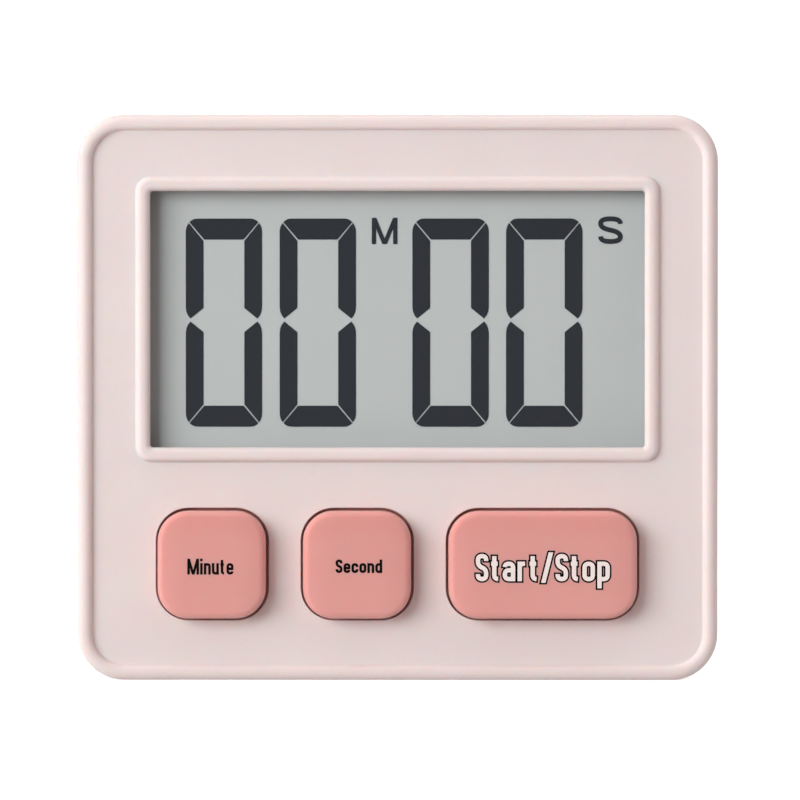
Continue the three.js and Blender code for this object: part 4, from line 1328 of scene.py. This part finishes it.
def wires():
    """The insulated wires, with a drop of solder where each one meets the board."""
    board = depth_range("main_board")[1]
    contact_depth, contact_z = cell_axis()[0], node_box("battery_spring")[0].z
    ceramic, brass = depth_range("buzzer_ceramic")[0], depth_range("buzzer_brass_disc")[0]
    buzzer = middle("buzzer_brass_disc")
    routes = {}
    for node, x, start, z, pad_x in (("buzzer_wire_red", buzzer.x, ceramic, buzzer.z, 29),
                                     ("buzzer_wire_black", buzzer.x + 1.5, brass, buzzer.z - 6, 31)):
        routes[node] = [(x, start - 0.3, z), (x, start - WIRE_RISE, z),
                        ((x + pad_x) / 2, board + 2.8, z + 2.5),
                        (pad_x, board + WIRE_RISE, z + 5), (pad_x, board + 0.3, z + 5)]
    for node, side in (("battery_wire_negative", -1), ("battery_wire_positive", 1)):
        x, pad_x, pad_z = side * CONTACT_X, side * 21, 44
        routes[node] = [(x, contact_depth, contact_z - 0.3), (x, contact_depth, contact_z - WIRE_RISE),
                        ((x + pad_x) / 2, contact_depth - 0.6, (contact_z + pad_z) / 2 - 1.4),
                        (pad_x, board + WIRE_RISE, pad_z), (pad_x, board + 0.3, pad_z)]
    for node, route in routes.items():
        path = bend([(x, y_at(depth), z) for x, depth, z in route])
        slot = "wire_red" if node in ("buzzer_wire_red", "battery_wire_positive") else "wire_black"
        finish_piece(tube(node + "_visual", path, WIRE_R, 16), slot, replaces=[node])
        x, depth, z = route[-1]
        solder = turned(node + "_solder", x, z, [
            (0, board), (0.95, board), (0.85, board + 0.1), (0.6, board + 0.2), (0.42, board + 0.28),
            (0, board + 0.29),
        ], 24)
        finish_piece(solder, "steel")


def carry_over():
    """Bevels the CAD nodes that still show, and gives them their procedural materials."""
    slots = {row["node"]: row["material_slot"] for row in frame["record"]["subparts"]}
    for node, made in frame["nodes"].items():
        made.data.materials.clear()
        made.data.materials.append(MATERIALS[slots[node]].material)
        if not made.hide_render:
            bevel = made.modifiers.new("bevel", "BEVEL")
            bevel.width = 0.12 * MM
            bevel.segments = 2
            bevel.limit_method = "ANGLE"
            bevel.angle_limit = math.radians(40)


# ---- Studio ----


WHITE = (1, 1, 1)
ROOM_TINT = (1.06, 0.935, 0.895)
# How bright the room is, by places from straight in front (0) to straight behind (1)
ROOM_LEVELS = ((0.0, 0.11), (0.14, 0.13), (0.24, 0.68), (0.42, 0.92), (0.51, 0.66), (0.75, 0.4),
               (0.985, 0.36), (0.992, 1.15), (1.0, 1.15))


def area_light(name, place, target, extent, power, color=(1, 1, 1)):
    light = bpy.data.lights.new(name, "AREA")
    light.shape = "RECTANGLE"
    light.size, light.size_y = extent
    light.energy = power
    light.color = color
    made = new_object(name, light)
    made.location = place
    made.rotation_euler = (Vector(target) - Vector(place)).to_track_quat("-Z", "Y").to_euler()
    made.visible_glossy = False


def studio_world():
    """A room that is bright all round the timer, dim in front, with a white backdrop behind."""
    world = bpy.data.worlds.new("studio")
    world.use_nodes = True
    nodes = world.node_tree.nodes
    links = world.node_tree.links
    direction = nodes.new("ShaderNodeTexCoord").outputs["Generated"]
    split = nodes.new("ShaderNodeSeparateXYZ")
    ramp = nodes.new("ShaderNodeValToRGB")
    spread = nodes.new("ShaderNodeMapRange")
    spread.inputs["From Min"].default_value = -1
    links.new(direction, split.inputs["Vector"])
    links.new(split.outputs["Y"], spread.inputs["Value"])
    links.new(spread.outputs["Result"], ramp.inputs["Fac"])
    links.new(ramp.outputs["Color"], nodes["Background"].inputs["Color"])
    elements = ramp.color_ramp.elements
    for place, _ in ROOM_LEVELS[1:-1]:
        elements.new(place)
    for element, (place, level) in zip(elements, ROOM_LEVELS):
        element.position = place
        tint = WHITE if place > 0.5 else ROOM_TINT
        element.color = (*(level * part for part in tint), 1)
    bpy.context.scene.world = world


def studio():
    target = (0, 0, HEIGHT / 2 * MM)
    area_light("key", (-1.03, -1.09, 0.3), target, (1.2, 1.2), 30.8, (0.985, 1, 0.985))
    area_light("overhead", (0, 0.1, 1.3), target, (1.8, 1.8), 4.0)
    area_light("rear", (0.9, 1.2, 0.8), target, (0.9, 0.9), 11.0)
    studio_world()
    bpy.context.scene.view_settings.view_transform = "Standard"


def floor():
    radius = 0.9
    sides = 64
    rim = [(radius * math.cos(a), radius * math.sin(a), 0)
           for a in (2 * math.pi * k / sides for k in range(sides))]
    mesh = bpy.data.meshes.new("floor")
    mesh.from_pydata(rim, [], [tuple(range(sides))])
    made = new_object("floor", mesh)
    surface = Surface("floor_paint", (0.95, 0.95, 0.95), 0.8)
    surface.mottle(surface.noise(80, 2), 0.01)
    surface.set(Emission_Color=(1, 1, 1, 1), Emission_Strength=0.5)
    made.data.materials.append(surface.material)
    made.visible_diffuse = False


def camera():
    distance = 700.0
    view_width = 106.0
    azimuth = math.radians(0.7)
    elevation = math.radians(0.8)
    target = Vector((0.36, CREST_Y, 37.2))
    away = Vector((math.sin(azimuth) * math.cos(elevation),
                   -math.cos(azimuth) * math.cos(elevation),
                   math.sin(elevation)))
    data = bpy.data.cameras.new("camera")
    data.sensor_width = 36.0
    data.lens = data.sensor_width * distance / view_width
    data.clip_start = 0.01
    data.clip_end = 20.0
    made = new_object("camera", data)
    made.location = (target + away * distance) * MM
    made.rotation_euler = (-away).to_track_quat("-Z", "Y").to_euler()
    bpy.context.scene.camera = made


# ---- Assembly ----

camera()
studio()
floor()
front_shell()
for key in KEY_NAMES:
    key_cap(key)
legends()
display()
rear_shell()
battery_door()
stand()
for number in SCREW_NUMBERS:
    screw(f"case_screw_{number}", 0.9, CASE_SCREW_HEAD, 0.6)
    screw(f"board_screw_{number}", 0.75, BOARD_SCREW_HEAD, 0.5)
disc("magnet_left", "magnet_nickel", 0.25)
disc("magnet_right", "magnet_nickel", 0.25)
disc("buzzer_brass_disc", "brass", 0.05)
disc("buzzer_ceramic", "piezo_ceramic", 0.05)
battery_cell()
battery_spring()
positive_contact()
for key in KEY_NAMES:
    dome(key)
    disc(f"{key}_carbon_pill", "carbon_rubber", 0.1, f"{key}_button")
chip_blob()
electrolytic()
lying_part("crystal", "steel", [(0, 0), (0.7, 0), (0.95, 0.1), (0.95, 0.3), (0.88, 0.4)])
lying_part("resistor", "component_ceramic", [(0, 0), (0.6, 0), (0.85, 0.2), (0.9, 0.5),
                                             (0.9, 1.0), (0.78, 1.4), (0.75, 1.8)])
transistor()
inductor()
wires()
carry_over()
